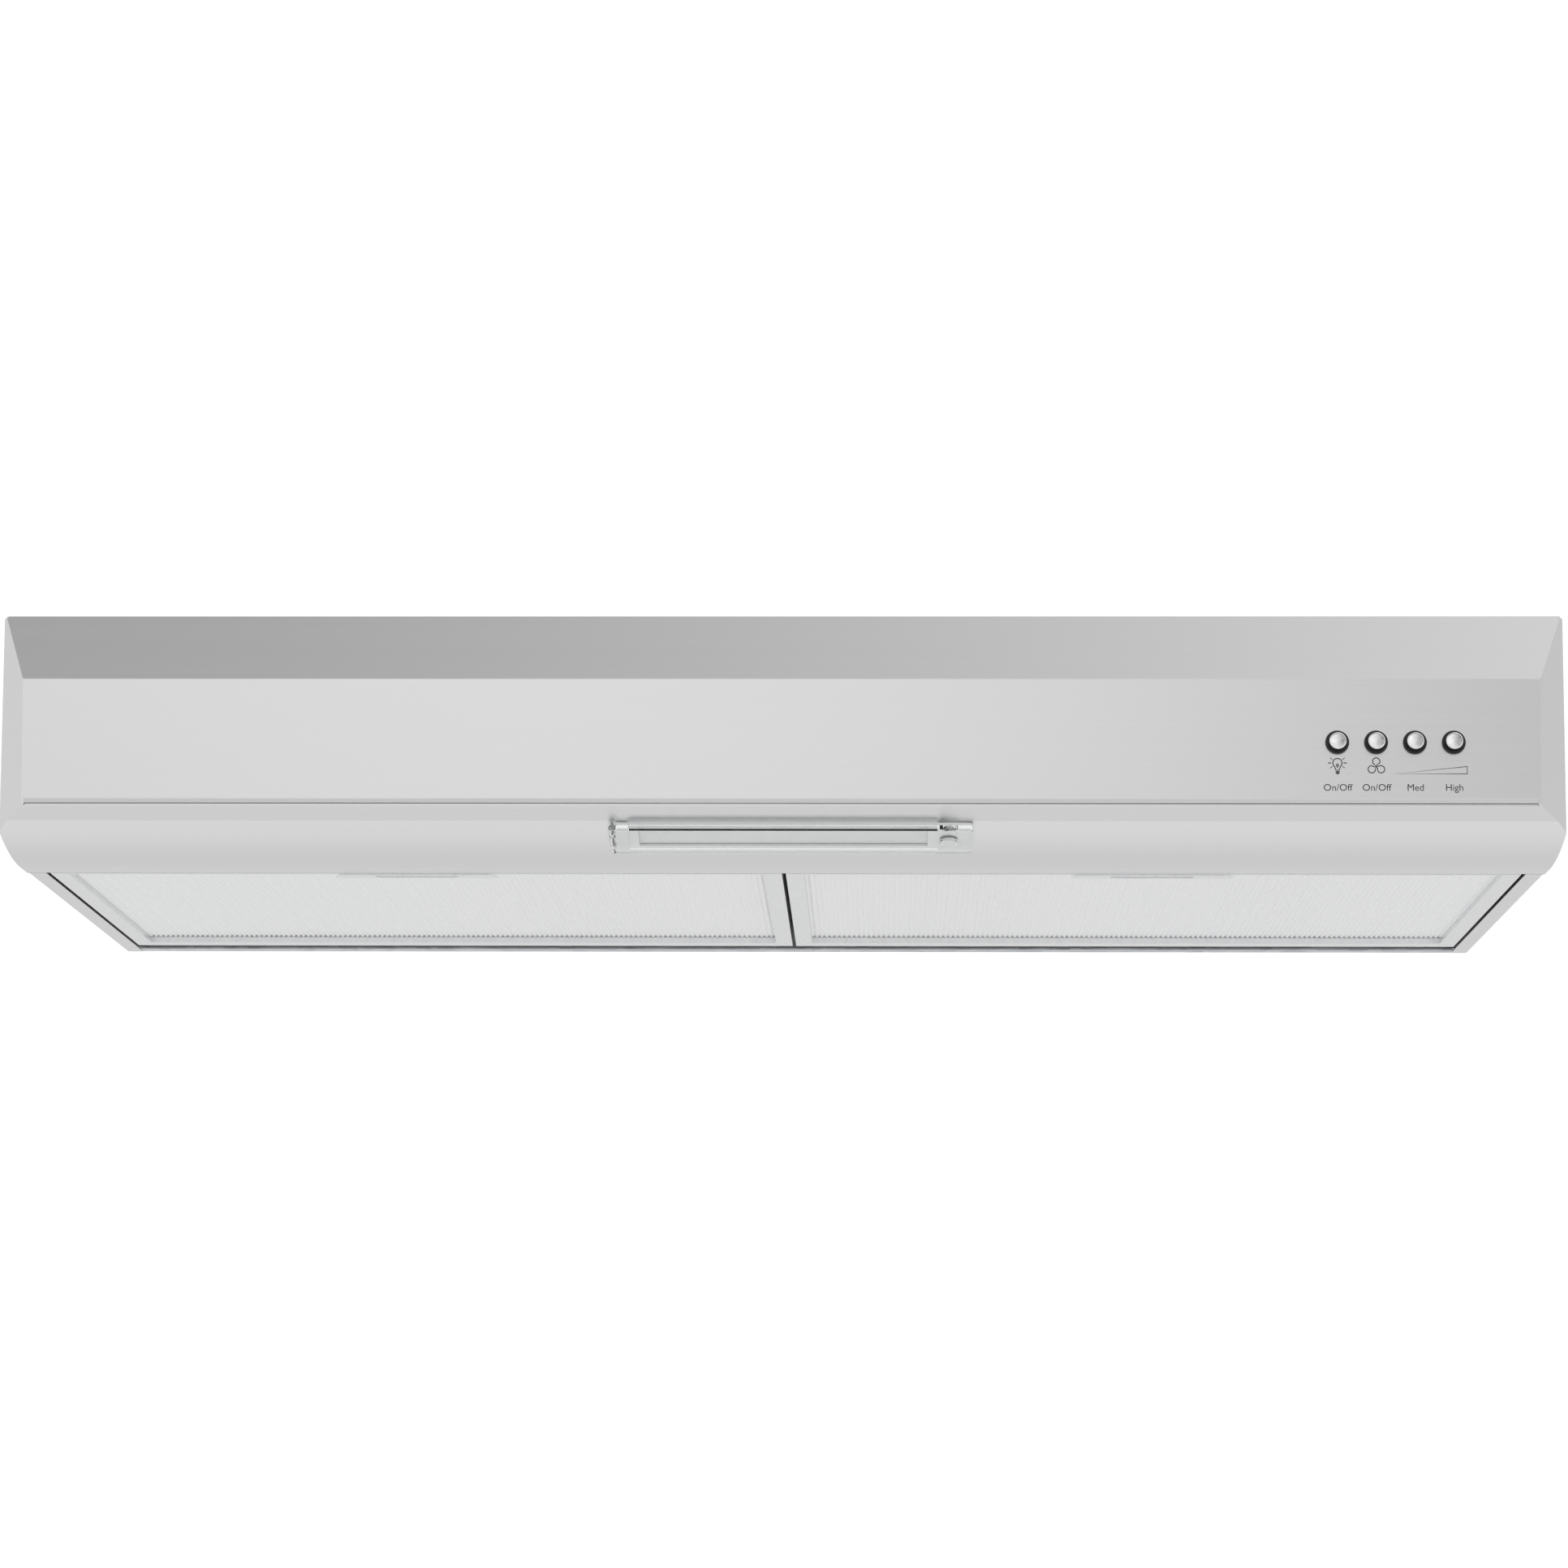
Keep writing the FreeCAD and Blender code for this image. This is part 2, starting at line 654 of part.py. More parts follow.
def lug_bars(reach, low, high):
    """Two upright bars where the tray's lugs pass, grown sideways by reach."""
    x = lens_pin_place()[0]
    half_x, half_y = LENS_LUG_RADIUS + reach, LENS_LUG_WIDTH / 2 + reach
    return [block((x - half_x, y - half_y, low), (x + half_x, y + half_y, high))
            for y in (-LENS_LUG_OFFSET, LENS_LUG_OFFSET)]


def lamp_lens():
    """The clear lens: a shallow tray with two solid ends, the left one turning on the pin."""
    half_x, half_y = LENS_LENGTH / 2, LENS_WIDTH / 2
    pin_x, pin_z = lens_pin_place()
    left, right = -half_x + LENS_LEFT_FLANGE, half_x - LENS_RIGHT_FLANGE
    wall = LENS_WALL
    body = block((pin_x, -half_y, -LENS_DROP), (half_x, half_y, -LENS_GAP))
    corners = [e for e in body.Edges if e.CenterOfMass.x > half_x - EASY
               and abs(e.CenterOfMass.y) > half_y - EASY]
    body = body.makeFillet(LENS_CORNER, corners)
    barrel = rod(LENS_BARREL, LENS_WIDTH, V(pin_x, -half_y, pin_z), ALONG_Y)
    hollow = block((left + wall, -half_y + wall, -LENS_DROP + wall),
                   (right - wall, half_y - wall, 0))
    shape = joined([body, barrel]).cut(hollow)
    bore = rod(LENS_PIN_RADIUS + RUNNING, LENS_WIDTH, V(pin_x, -half_y, pin_z), ALONG_Y)
    hole = rod(SCREW_SHANK, 4 * LENS_DROP, V(lens_screw_x(), 0, -2 * LENS_DROP), ALONG_Z)
    sink = rod(SCREW_HEAD + EASY, LENS_DROP, V(lens_screw_x(), 0, -LENS_DROP - LENS_WALL), ALONG_Z)
    notches = []
    for y in (-LENS_LUG_OFFSET, LENS_LUG_OFFSET):
        notch = LENS_LUG_WIDTH / 2 + EASY
        notches.append(block((-LENS_LENGTH, y - notch, -LENS_LENGTH),
                             (pin_x + LENS_LUG_RADIUS + EASY, y + notch, LENS_LENGTH)))
    return shape.cut(group([bore, hole, sink] + notches))


def lens_screw():
    """The captive screw at the lens's right end."""
    head = V(lens_screw_x(), 0, -LENS_WALL)
    return screw(head, ALONG_Z, SCREW_SHANK, LENS_SCREW_LENGTH)


def lens_hinge_pin():
    """The wire that the lens turns on."""
    pin_x, pin_z = lens_pin_place()
    start = V(pin_x, -LENS_PIN_LENGTH / 2, pin_z)
    return rod(LENS_PIN_RADIUS, LENS_PIN_LENGTH, start, ALONG_Y)


def lamp_middle_x():
    """The middle of the lens's tray, in the lamp's own frame."""
    return (LENS_LEFT_FLANGE - LENS_RIGHT_FLANGE) / 2


def lamp_reflector():
    """The white tray over the window, with a brim on the panel and two lugs for the hinge pin."""
    x, y = LAMP_WINDOW[0] / 2, LAMP_WINDOW[1] / 2
    mid, low, rim = lamp_middle_x(), REFLECTOR_FOOT, REFLECTOR_BRIM
    outer = block((mid - x - SHEET, -y - SHEET, low),
                  (mid + x + SHEET, y + SHEET, low + REFLECTOR_HEIGHT))
    brim = block((mid - x - rim, -y - rim, low), (mid + x + rim, y + rim, low + SHEET))
    hollow = block((mid - x, -y, low - SHEET), (mid + x, y, low + REFLECTOR_HEIGHT - SHEET))
    pin_x, pin_z = lens_pin_place()
    shoulder = block((pin_x - LENS_LUG_RADIUS, -y, low), (mid - x - SHEET, y, low + SHEET))
    rounds = [rod(LENS_LUG_RADIUS, LENS_LUG_WIDTH, V(pin_x, middle - LENS_LUG_WIDTH / 2, pin_z), ALONG_Y)
              for middle in (-LENS_LUG_OFFSET, LENS_LUG_OFFSET)]
    bore = rod(LENS_PIN_RADIUS, LENS_WIDTH, V(pin_x, -LENS_WIDTH / 2, pin_z), ALONG_Y)
    shape = joined([outer, brim, shoulder] + lug_bars(0.0, pin_z, low + SHEET) + rounds)
    return shape.cut(hollow).cut(bore)


def light_board():
    """The circuit board under the tray's roof."""
    length, width, thick = BOARD_SIZE
    roof = REFLECTOR_FOOT + REFLECTOR_HEIGHT - SHEET
    mid = lamp_middle_x()
    return block((mid - length / 2, -width / 2, roof - thick), (mid + length / 2, width / 2, roof))


def light_emitters():
    """The row of light emitters under the board."""
    under = REFLECTOR_FOOT + REFLECTOR_HEIGHT - SHEET - BOARD_SIZE[2]
    first = lamp_middle_x() - EMITTER_PITCH * (EMITTER_COUNT - 1) / 2
    size = 2.5
    return group(block((first + n * EMITTER_PITCH - size, -size, under - 1.0),
                       (first + n * EMITTER_PITCH + size, size, under))
                 for n in range(EMITTER_COUNT))


def diffuser():
    """The white diffuser that sits in the tray's mouth."""
    x, y = LAMP_WINDOW[0] / 2, LAMP_WINDOW[1] / 2
    mid = lamp_middle_x()
    low = REFLECTOR_FOOT
    return block((mid - x, -y, low), (mid + x, y, low + DIFFUSER_THICK))


# ---- Filters ----
def filter_span():
    """The left and right edges of the right-hand filter."""
    return FILTER_GAP, WIDTH / 2 - SIDE_FLANGE - FILTER_SIDE_GAP


def filter_start():
    """The depth of the filters' front edges, just behind the underside panel."""
    return PANEL_DEPTH + FILTER_GAP


def window_box(reach, low, high):
    """The window of the right-hand filter's frame, grown by reach on every side."""
    left, right = filter_span()
    side, front, back = (b - reach for b in (FILTER_BORDER, FILTER_FRONT_BORDER, FILTER_REAR_BORDER))
    return block((left + side, rear(filter_start() + front), above(low)),
                 (right - side, rear(FILTER_END - back), above(high)))


def ear_places():
    """The x of each ear of the right-hand filter."""
    left, right = filter_span()
    return left + EAR_INSET, (left + right) / 2, right - EAR_INSET


def hook_places():
    """The x of each hook over the right-hand filter's wire."""
    left, right = filter_span()
    return left + HOOK_INSET, right - HOOK_INSET


def wire_bore(radius, x_low, x_high):
    """A round bar on the right-hand filter's hinge axis."""
    return rod(radius, x_high - x_low, V(x_low, rear(WIRE_DEPTH), above(WIRE_HEIGHT)), ALONG_X)


def tab_outline(width, depth, start, place):
    """A flat plate with slanted, rounded ends."""
    left, right = filter_span()
    middle = (left + right) / 2
    slant = depth / 3
    points = [
        (middle, start),
        (middle + width / 2 - slant, start),
        (middle + width / 2, start + depth),
        (middle - width / 2, start + depth),
        (middle - width / 2 + slant, start),
    ]
    corner = depth / 4
    return outline(points + [(middle - SMALL * 10, start)], [corner] * 4, place)


def tab_slot(low, high):
    """The obround finger hole of the pull tab."""
    left, right = filter_span()
    middle = (left + right) / 2
    half, radius = TAB_SLOT[0] / 2 - TAB_SLOT[1] / 2, TAB_SLOT[1] / 2
    y = rear(tab_start() + TAB_DEPTH / 2)
    ends = [rod(radius, high - low, V(middle + s * half, y, above(low)), ALONG_Z) for s in (-1, 1)]
    bar = block((middle - half, y - radius, above(low)), (middle + half, y + radius, above(high)))
    return joined([ends[0], bar, ends[1]])


def tab_start():
    """The depth of the pull tab's front edge, just behind the underside panel."""
    return filter_start() + EASY


def filter_frame(side):
    """The channel frame: a border, a groove for the mesh, and ears for the wire."""
    left, right = filter_span()
    shape = block((left, rear(filter_start()), above(0.0)), (right, rear(FILTER_END), above(FILTER_THICK)))
    base = FILTER_THICK - SHEET - PAD_THICK
    shape = shape.cut(window_box(0.0, -SHEET, FILTER_THICK + SHEET))
    shape = shape.cut(window_box(PAD_GROOVE, base, base + PAD_THICK))
    low, high = WIRE_HEIGHT - 2 * WIRE_RADIUS - SHEET, WIRE_HEIGHT + 2 * WIRE_RADIUS
    ears = [block((x - EAR_WIDTH / 2, rear(FILTER_END - SHEET), above(low)),
                  (x + EAR_WIDTH / 2, rear(WIRE_DEPTH + 2 * WIRE_RADIUS), above(high)))
            for x in ear_places()]
    shape = joined([shape] + ears).cut(wire_bore(WIRE_RADIUS, left, right))
    return on_side(shape, side)


def filter_mesh(side):
    """The corrugated mesh face, its ribs running front to back in the frame's groove."""
    base = FILTER_THICK - SHEET - PAD_THICK
    inset = FILTER_BORDER - PAD_GROOVE
    left, right = filter_span()
    reach = right - left - 2 * inset
    count = 2 * round(reach / MESH_PITCH)
    step = reach / count
    heights = (base, base + PAD_THICK - 2 * MESH_THICK)
    line = [(left + inset + n * step, heights[n % 2]) for n in range(count + 1)]
    face = strip(line, [0.0] * (count - 1), MESH_THICK, in_width)
    pad = pushed(face, rear(filter_start()), rear(FILTER_END), ALONG_Y)
    pad = pad.common(window_box(PAD_GROOVE, base, base + PAD_THICK))
    return on_side(pad.cut(tab_slot(-SHEET, TAB_POCKET_DEPTH)), side)


def filter_tab(side):
    """The finger pull under the frame's front border."""
    plate = pushed(tab_outline(TAB_WIDTH, TAB_DEPTH, tab_start(), in_plan),
                   above(-TAB_THICK), above(0.0), ALONG_Z)
    return on_side(plate.cut(tab_slot(-2 * TAB_THICK, SHEET)), side)


def filter_wire(side):
    """The hinge wire along the filter's rear edge."""
    places = ear_places()
    half = EAR_WIDTH / 2
    return on_side(wire_bore(WIRE_RADIUS, places[0] - half, places[2] + half), side)


def rear_rail():
    """The bent rail on the back panel's flange that carries the hooks."""
    line = [(DEPTH - 2 * SHEET, SHEET), (RAIL_DEPTH, SHEET), (RAIL_DEPTH, RAIL_HEIGHT)]
    reach = WIDTH / 2 - SIDE_FLANGE - FILTER_SIDE_GAP
    return pushed(strip(line, [BEND_RADIUS], -SHEET, in_profile), -reach, reach, ALONG_X)


def filter_hooks():
    """The four hooks that hold the filters' wires."""
    hooks = []
    for x in hook_places():
        body = block((x - HOOK_WIDTH / 2, rear(WIRE_DEPTH - WIRE_RADIUS - SHEET),
                      above(WIRE_HEIGHT - 2 * WIRE_RADIUS)),
                     (x + HOOK_WIDTH / 2, rear(RAIL_DEPTH), above(WIRE_HEIGHT + 2 * WIRE_RADIUS)))
        bore = wire_bore(WIRE_RADIUS + RUNNING, x - HOOK_WIDTH, x + HOOK_WIDTH)
        hooks.append(body.cut(bore))
    return group(hooks + [mirrored(h) for h in hooks])


def filter_clips():
    """The four leaf springs that press down on the filters' front edges."""
    clips = []
    left, right = filter_span()
    tip = FILTER_THICK + EASY
    line = [
        (PANEL_DEPTH - SHEET, FILTER_THICK / 2),
        (PANEL_DEPTH - SHEET, PANEL_FLANGE + SHEET),
        (PANEL_DEPTH + FILTER_BORDER / 2, PANEL_FLANGE + SHEET),
        (PANEL_DEPTH + FILTER_BORDER, tip + SHEET),
        (PANEL_DEPTH + FILTER_BORDER * 1.5, tip + 3 * SHEET),
    ]
    for x in (left + CLIP_INSET, right - CLIP_INSET):
        face = strip(line, [SHEET, SHEET, SHEET], SHEET / 2, in_profile)
        clips.append(pushed(face, x - CLIP_WIDTH / 2, x + CLIP_WIDTH / 2, ALONG_X))
    return group(clips + [mirrored(c) for c in clips])


# ---- Duct ----
def collar_tube(low, high, inset):
    """The collar's rectangle between two heights, moved in by inset."""
    x, y = COLLAR_WIDTH / 2 - inset, COLLAR_DEPTH / 2 - inset
    return block((-x, COLLAR_Y - y, low), (x, COLLAR_Y + y, high))


def flap_pin_y():
    """The damper pin runs along the collar's front wall."""
    return COLLAR_Y - COLLAR_DEPTH / 2 + SHEET + FLAP_PIN_RADIUS + 2 * FREE


def flap_bore(radius, inset):
    """A bar on the damper's axis, reaching to inset from the collar's ends."""
    half = COLLAR_WIDTH / 2 - inset
    return rod(radius, 2 * half, V(-half, flap_pin_y(), FLAP_HEIGHT), ALONG_X)


def duct_collar():
    """The collar, its flange under the top panel and the inner ledge that the flap shuts on."""
    inside = collar_tube(BLOWER_TOP - SHEET, COLLAR_HEIGHT + SHEET, SHEET)
    wall = collar_tube(BLOWER_TOP, COLLAR_HEIGHT, 0.0).cut(inside)
    flange = collar_tube(BLOWER_TOP, INSIDE_TOP, -COLLAR_FLANGE).cut(inside)
    ledge_low = FLAP_HEIGHT - FREE - 2 * SHEET
    ledge = collar_tube(ledge_low, ledge_low + SHEET, SHEET / 2)
    ledge = ledge.cut(collar_tube(0.0, COLLAR_HEIGHT, 3 * SHEET))
    shape = joined([wall, flange, ledge])
    return shape.cut(flap_bore(FLAP_PIN_RADIUS, -SHEET)).cut(group(collar_screws()))


def damper_pin():
    """The pin that the flap turns on."""
    return flap_bore(FLAP_PIN_RADIUS, 0.0)


def damper_flap():
    """The flap, curled loosely round the pin that the collar holds."""
    x = COLLAR_WIDTH / 2 - SHEET - FLAP_GAP
    y = flap_pin_y()
    far = COLLAR_Y + COLLAR_DEPTH / 2 - SHEET - FLAP_GAP
    low = FLAP_HEIGHT - SHEET / 2
    plate = block((-x, y, low), (x, far, low + SHEET))
    curl = rod(FLAP_PIN_RADIUS + SHEET, 2 * x, V(-x, y, FLAP_HEIGHT), ALONG_X)
    return joined([plate, curl]).cut(flap_bore(FLAP_PIN_RADIUS + RUNNING, 0.0))


# ---- Blower ----
def scroll_line():
    """The scroll's inner line: down the outlet's front wall, round the wheel, up the rear."""
    points = [
        (SCROLL_TONGUE, BLOWER_TOP),
        (SCROLL_TONGUE, SCROLL_ROOF),
        (SCROLL_FRONT, SCROLL_ROOF),
        (SCROLL_FRONT, SCROLL_FLOOR),
        (SCROLL_REAR, SCROLL_FLOOR),
        (SCROLL_REAR, BLOWER_TOP),
    ]
    return points, [TONGUE_RADIUS, SCROLL_CURVE, SCROLL_CURVE, SCROLL_CURVE]


def scroll_wrappers():
    """The curved walls round the two wheels."""
    points, radii = scroll_line()
    face = strip(points, radii, -SHEET, in_frame_yz)
    shape = pushed(face, SCROLL_INNER, SCROLL_INNER + SCROLL_WIDTH, ALONG_X)
    return group([shape, mirrored(shape)])


def scroll_plate(x_low):
    """One flat end of a scroll, with the wrapper's outer outline."""
    points, radii = scroll_line()
    outer = shifted(points, -SHEET)
    sides = bend_sides(points)
    radii = [max(r + SHEET * s, 0.0) for r, s in zip(radii, sides)]
    return pushed(outline(outer, radii, in_frame_yz), x_low, x_low + SHEET, ALONG_X)


def axle(radius, x_low, x_high):
    """A round bar on the blower's axis."""
    return rod(radius, x_high - x_low, V(x_low, AXLE_Y, AXLE_Z), ALONG_X)


def inlet_plates():
    """The scrolls' outer ends, with rolled inlet rings."""
    x = SCROLL_INNER + SCROLL_WIDTH
    plate = scroll_plate(x).cut(axle(INLET_RADIUS, x - SHEET, x + 2 * SHEET))
    lip = axle(INLET_RADIUS, x - INLET_LIP, x + SHEET)
    lip = lip.cut(axle(INLET_RADIUS - SHEET, x - 2 * INLET_LIP, x + INLET_LIP))
    shape = joined([plate, lip])
    return group([shape, mirrored(shape)])


def motor_plates():
    """The scrolls' inner ends, which carry the motor."""
    x = SCROLL_INNER - SHEET
    plate = scroll_plate(x).cut(axle(HUB_RADIUS + FREE, x - SHEET, x + 2 * SHEET))
    return group([plate, mirrored(plate)])


def outlet_bridge():
    """The tray that closes the outlet over the motor."""
    low = SCROLL_ROOF - SHEET
    line = [(SCROLL_TONGUE, BLOWER_TOP), (SCROLL_TONGUE, low), (SCROLL_REAR, low),
            (SCROLL_REAR, BLOWER_TOP)]
    face = strip(line, [BEND_RADIUS, BEND_RADIUS], SHEET, in_frame_yz)
    reach = SCROLL_INNER - SHEET
    return pushed(face, -reach, reach, ALONG_X)


def blower_screws():
    """Screws through the scrolls' outer ends."""
    screws = []
    x = SCROLL_INNER + SCROLL_WIDTH + SHEET + SCREW_HEAD_HEIGHT
    corners = (
        (SCROLL_FRONT + SCROLL_CURVE / 4, SCROLL_ROOF - SCROLL_CURVE * 0.9),
        (SCROLL_REAR - SCROLL_CURVE / 3, SCROLL_FLOOR + SCROLL_CURVE * 0.75),
        (SCROLL_REAR - SCREW_HEAD * 2, SCROLL_ROOF - SCREW_HEAD),
    )
    for y, z in corners:
        screws.append(rod(SCREW_HEAD, SCREW_HEAD_HEIGHT, V(x, y, z), ALONG_X * -1))
    return screws + [mirrored(s) for s in screws]


def blower_shaft():
    """The shaft through the motor and both wheels."""
    reach = SCROLL_INNER + SCROLL_WIDTH - INLET_LIP
    return axle(SHAFT_RADIUS, -reach, reach)


def wheel_start():
    """Where a wheel's plate begins, beside the motor plate."""
    return SCROLL_INNER + 2 * FREE + SHEET


def blower_wheels():
    """Two bladed wheels: each a plate with a hub, forward-leaning blades and an end ring."""
    low = wheel_start()
    high = low + WHEEL_LENGTH
    shape = axle(WHEEL_RADIUS, low, low + WHEEL_PLATE)
    ring = axle(WHEEL_RADIUS, high - WHEEL_PLATE, high).cut(axle(WHEEL_EYE, low, high + SHEET))
    blades = []
    span = WHEEL_RADIUS - WHEEL_EYE - BLADE_THICK
    for n in range(BLADE_COUNT):
        start = AXLE_Z + WHEEL_EYE + BLADE_THICK / 2
        blade = block((low, AXLE_Y - BLADE_THICK / 2, start),
                      (high, AXLE_Y + BLADE_THICK / 2, start + span))
        blade.rotate(V(low, AXLE_Y, AXLE_Z + WHEEL_EYE), ALONG_X, BLADE_LEAN)
        blade.rotate(V(low, AXLE_Y, AXLE_Z), ALONG_X, 360.0 * n / BLADE_COUNT)
        blades.append(blade)
    hub = axle(HUB_RADIUS, low, low + HUB_LENGTH)
    shape = shape.fuse([ring, hub] + blades).cut(axle(SHAFT_RADIUS, low - SHEET, high))
    return group([shape, mirrored(shape)])


def motor_shells():
    """The two pressed halves of the motor's shell."""
    high = MOTOR_LENGTH / 2
    cup = axle(MOTOR_RADIUS, 0.0, high).cut(axle(MOTOR_RADIUS - MOTOR_SHELL, -SHEET, high - MOTOR_SHELL))
    rim = [e for e in cup.Edges if abs(e.CenterOfMass.x - high) < SMALL]
    cup = cup.makeFillet(MOTOR_SHELL, rim)
    seat = axle(BUSH_RADIUS + MOTOR_SHELL, high - BUSH_LENGTH, high)
    shape = joined([cup, seat]).cut(axle(BUSH_RADIUS, -SHEET, high + SHEET))
    return group([shape, mirrored(shape)])


def motor_stator():
    """The laminated ring, held by the shell."""
    half = ROTOR_LENGTH / 2
    ring = axle(MOTOR_RADIUS - MOTOR_SHELL, -half, half)
    return ring.cut(axle(ROTOR_RADIUS + AIR_GAP, -half - SHEET, half + SHEET))


def motor_windings():
    """The copper end turns on both sides of the stator."""
    low = ROTOR_LENGTH / 2
    outer, inner = MOTOR_RADIUS - MOTOR_SHELL - FREE, ROTOR_RADIUS + 2 * FREE
    ring = axle(outer, low, low + WINDING_LENGTH).cut(axle(inner, 0.0, low + 2 * WINDING_LENGTH))
    return group([ring, mirrored(ring)])


def motor_rotor():
    """The rotor's core on the shaft."""
    half = ROTOR_LENGTH / 2
    return axle(ROTOR_RADIUS, -half, half).cut(axle(SHAFT_RADIUS, -MOTOR_LENGTH, MOTOR_LENGTH))


def motor_bushes():
    """The plain bearings in both ends of the shell."""
    high = MOTOR_LENGTH / 2
    bush = axle(BUSH_RADIUS, high - BUSH_LENGTH, high)
    bush = bush.cut(axle(SHAFT_RADIUS + RUNNING, 0.0, MOTOR_LENGTH))
    return group([bush, mirrored(bush)])


def motor_mounts():
    """Six rubber mounts between the motor's shell and the motor plates."""
    start = MOTOR_LENGTH / 2
    mounts = []
    for n in range(3):
        mount = rod(MOUNT_RADIUS, SCROLL_INNER - SHEET - start,
                    V(start, AXLE_Y, AXLE_Z + MOUNT_CIRCLE), ALONG_X)
        mount.rotate(V(0, AXLE_Y, AXLE_Z), ALONG_X, 360.0 * n / 3)
        mounts.append(mount)
    return group(mounts + [mirrored(m) for m in mounts])


# ---- Wiring ----
def cable_entry_plate():
    """The small plate under the top panel's window, with the round cable hole."""
    x, y = ENTRY_PLATE[0] / 2, ENTRY_PLATE[1] / 2
    plate = block((KNOCKOUT_X - x, KNOCKOUT_Y - y, -2 * SHEET),
                  (KNOCKOUT_X + x, KNOCKOUT_Y + y, -SHEET))
    return plate.cut(rod(KNOCKOUT_RADIUS, 4 * SHEET, V(KNOCKOUT_X, KNOCKOUT_Y, -3 * SHEET), ALONG_Z))


def box_corners():
    """The wiring box's low and high corners."""
    x, y = BOX_SIZE[0] / 2, BOX_SIZE[1] / 2
    top = -2 * SHEET
    return ((KNOCKOUT_X - x, KNOCKOUT_Y - y, top - BOX_SIZE[2]), (KNOCKOUT_X + x, KNOCKOUT_Y + y, top))


def wiring_box():
    """The steel box over the cable entry, open at the bottom."""
    low, high = box_corners()
    outer = block(low, high)
    hollow = block((low[0] + SHEET, low[1] + SHEET, low[2] - SHEET),
                   (high[0] - SHEET, high[1] - SHEET, high[2] - SHEET))
    hole = rod(KNOCKOUT_RADIUS + FREE, 4 * SHEET, V(KNOCKOUT_X, KNOCKOUT_Y, -5 * SHEET), ALONG_Z)
    exits = [rod(CABLE_RADIUS, 4 * SHEET, V(low[0] - SHEET, y, box_exit_z()), ALONG_X)
             for y in box_exits_y()]
    return outer.cut(hollow).cut(group([hole] + exits))


def wiring_box_cover():
    """The lid under the wiring box."""
    low, high = box_corners()
    plate = block((low[0] - SHEET, low[1] - SHEET, low[2] - SHEET),
                  (high[0] + SHEET, high[1] + SHEET, low[2]))
    lip = block((low[0] - SHEET, low[1] - SHEET, low[2]), (high[0] + SHEET, high[1] + SHEET, low[2] + 8.0))
    lip = lip.cut(block((low[0], low[1], low[2] - SHEET), (high[0], high[1], low[2] + 9.0)))
    return joined([plate, lip])


def box_exits_y():
    """Where the motor, lamp and switch cables leave the wiring box."""
    return KNOCKOUT_Y + BOX_EXIT_PITCH, KNOCKOUT_Y, KNOCKOUT_Y - BOX_EXIT_PITCH


def box_exit_z():
    """The height of the cables' exits."""
    return -2 * SHEET - BOX_SIZE[2] / 2


def cable(points):
    """A round cable: straight runs joined by arcs as large as the runs allow."""
    places = [V(*p) for p in points]
    radii = []
    for before, corner, after in zip(places, places[1:], places[2:]):
        into, out = corner - before, after - corner
        turn = into.getAngle(out)
        radii.append(0.45 * min(into.Length, out.Length) / math.tan(turn / 2))
    print("cable radii", [round(r, 1) for r in radii])
    path = Part.Wire(rounded_edges(places, radii))
    ring = Part.makeCircle(CABLE_RADIUS, places[0], places[1] - places[0])
    return path.makePipeShell([Part.Wire([ring])], True, True)


def motor_cable():
    """From the wiring box to the front of the motor."""
    low = box_corners()[0]
    z = box_exit_z()
    return cable([
        (low[0], box_exits_y()[0], z),
        (low[0] - 40.0, box_exits_y()[0] + 2.0, z - 1.0),
        (low[0] - 78.0, box_exits_y()[0] + 12.0, z - 6.0),
        (low[0] - 112.0, box_exits_y()[0] + 32.0, z - 14.0),
        (low[0] - 140.0, AXLE_Y - MOTOR_RADIUS - 30.0, z - 24.0),
        (15.0, AXLE_Y - MOTOR_RADIUS - 16.0, AXLE_Z - 1.0),
        (10.0, AXLE_Y - MOTOR_RADIUS, AXLE_Z),
    ])


def lamp_cable():
    """From the wiring box to the roof of the lamp's tray."""
    low = box_corners()[0]
    z = box_exit_z()
    roof = LAMP_PLACE.multVec(V(lamp_middle_x() + 40.0, 0, REFLECTOR_FOOT + REFLECTOR_HEIGHT))
    return cable([
        (low[0], box_exits_y()[1], z),
        (low[0] - 30.0, box_exits_y()[1] - 1.0, z - 1.0),
        (low[0] - 58.0, box_exits_y()[1] - 14.0, z - 4.0),
        (low[0] - 82.0, box_exits_y()[1] - 38.0, z - 6.0),
        (low[0] - 104.0, roof.y + 55.0, z - 9.0),
        (roof.x + 8.0, roof.y + 22.0, z - 16.0),
        (roof.x + 1.0, roof.y + 3.0, roof.z + 20.0),
        (roof.x, roof.y, roof.z),
    ])


def switch_cable():
    """From the wiring box to the back of the switch block."""
    low = box_corners()[0]
    z = box_exit_z()
    back = FASCIA_PLACE.multVec(V(BUTTON_MIDDLE - 20.0, SWITCH_FRONT + SWITCH_SIZE[1] + SHEET, 0))
    return cable([
        (low[0], box_exits_y()[2], z),
        (low[0] - 18.0, box_exits_y()[2] - 4.0, z - 1.0),
        (low[0] - 22.0, box_exits_y()[2] - 24.0, z - 5.0),
        (low[0] - 4.0, box_exits_y()[2] - 46.0, z - 12.0),
        (low[0] + 36.0, box_exits_y()[2] - 62.0, z - 22.0),
        (back.x - 26.0, back.y + 30.0, back.z + 6.0),
        (back.x - 2.0, back.y + 16.0, back.z + 1.0),
        (back.x, back.y, back.z),
    ])


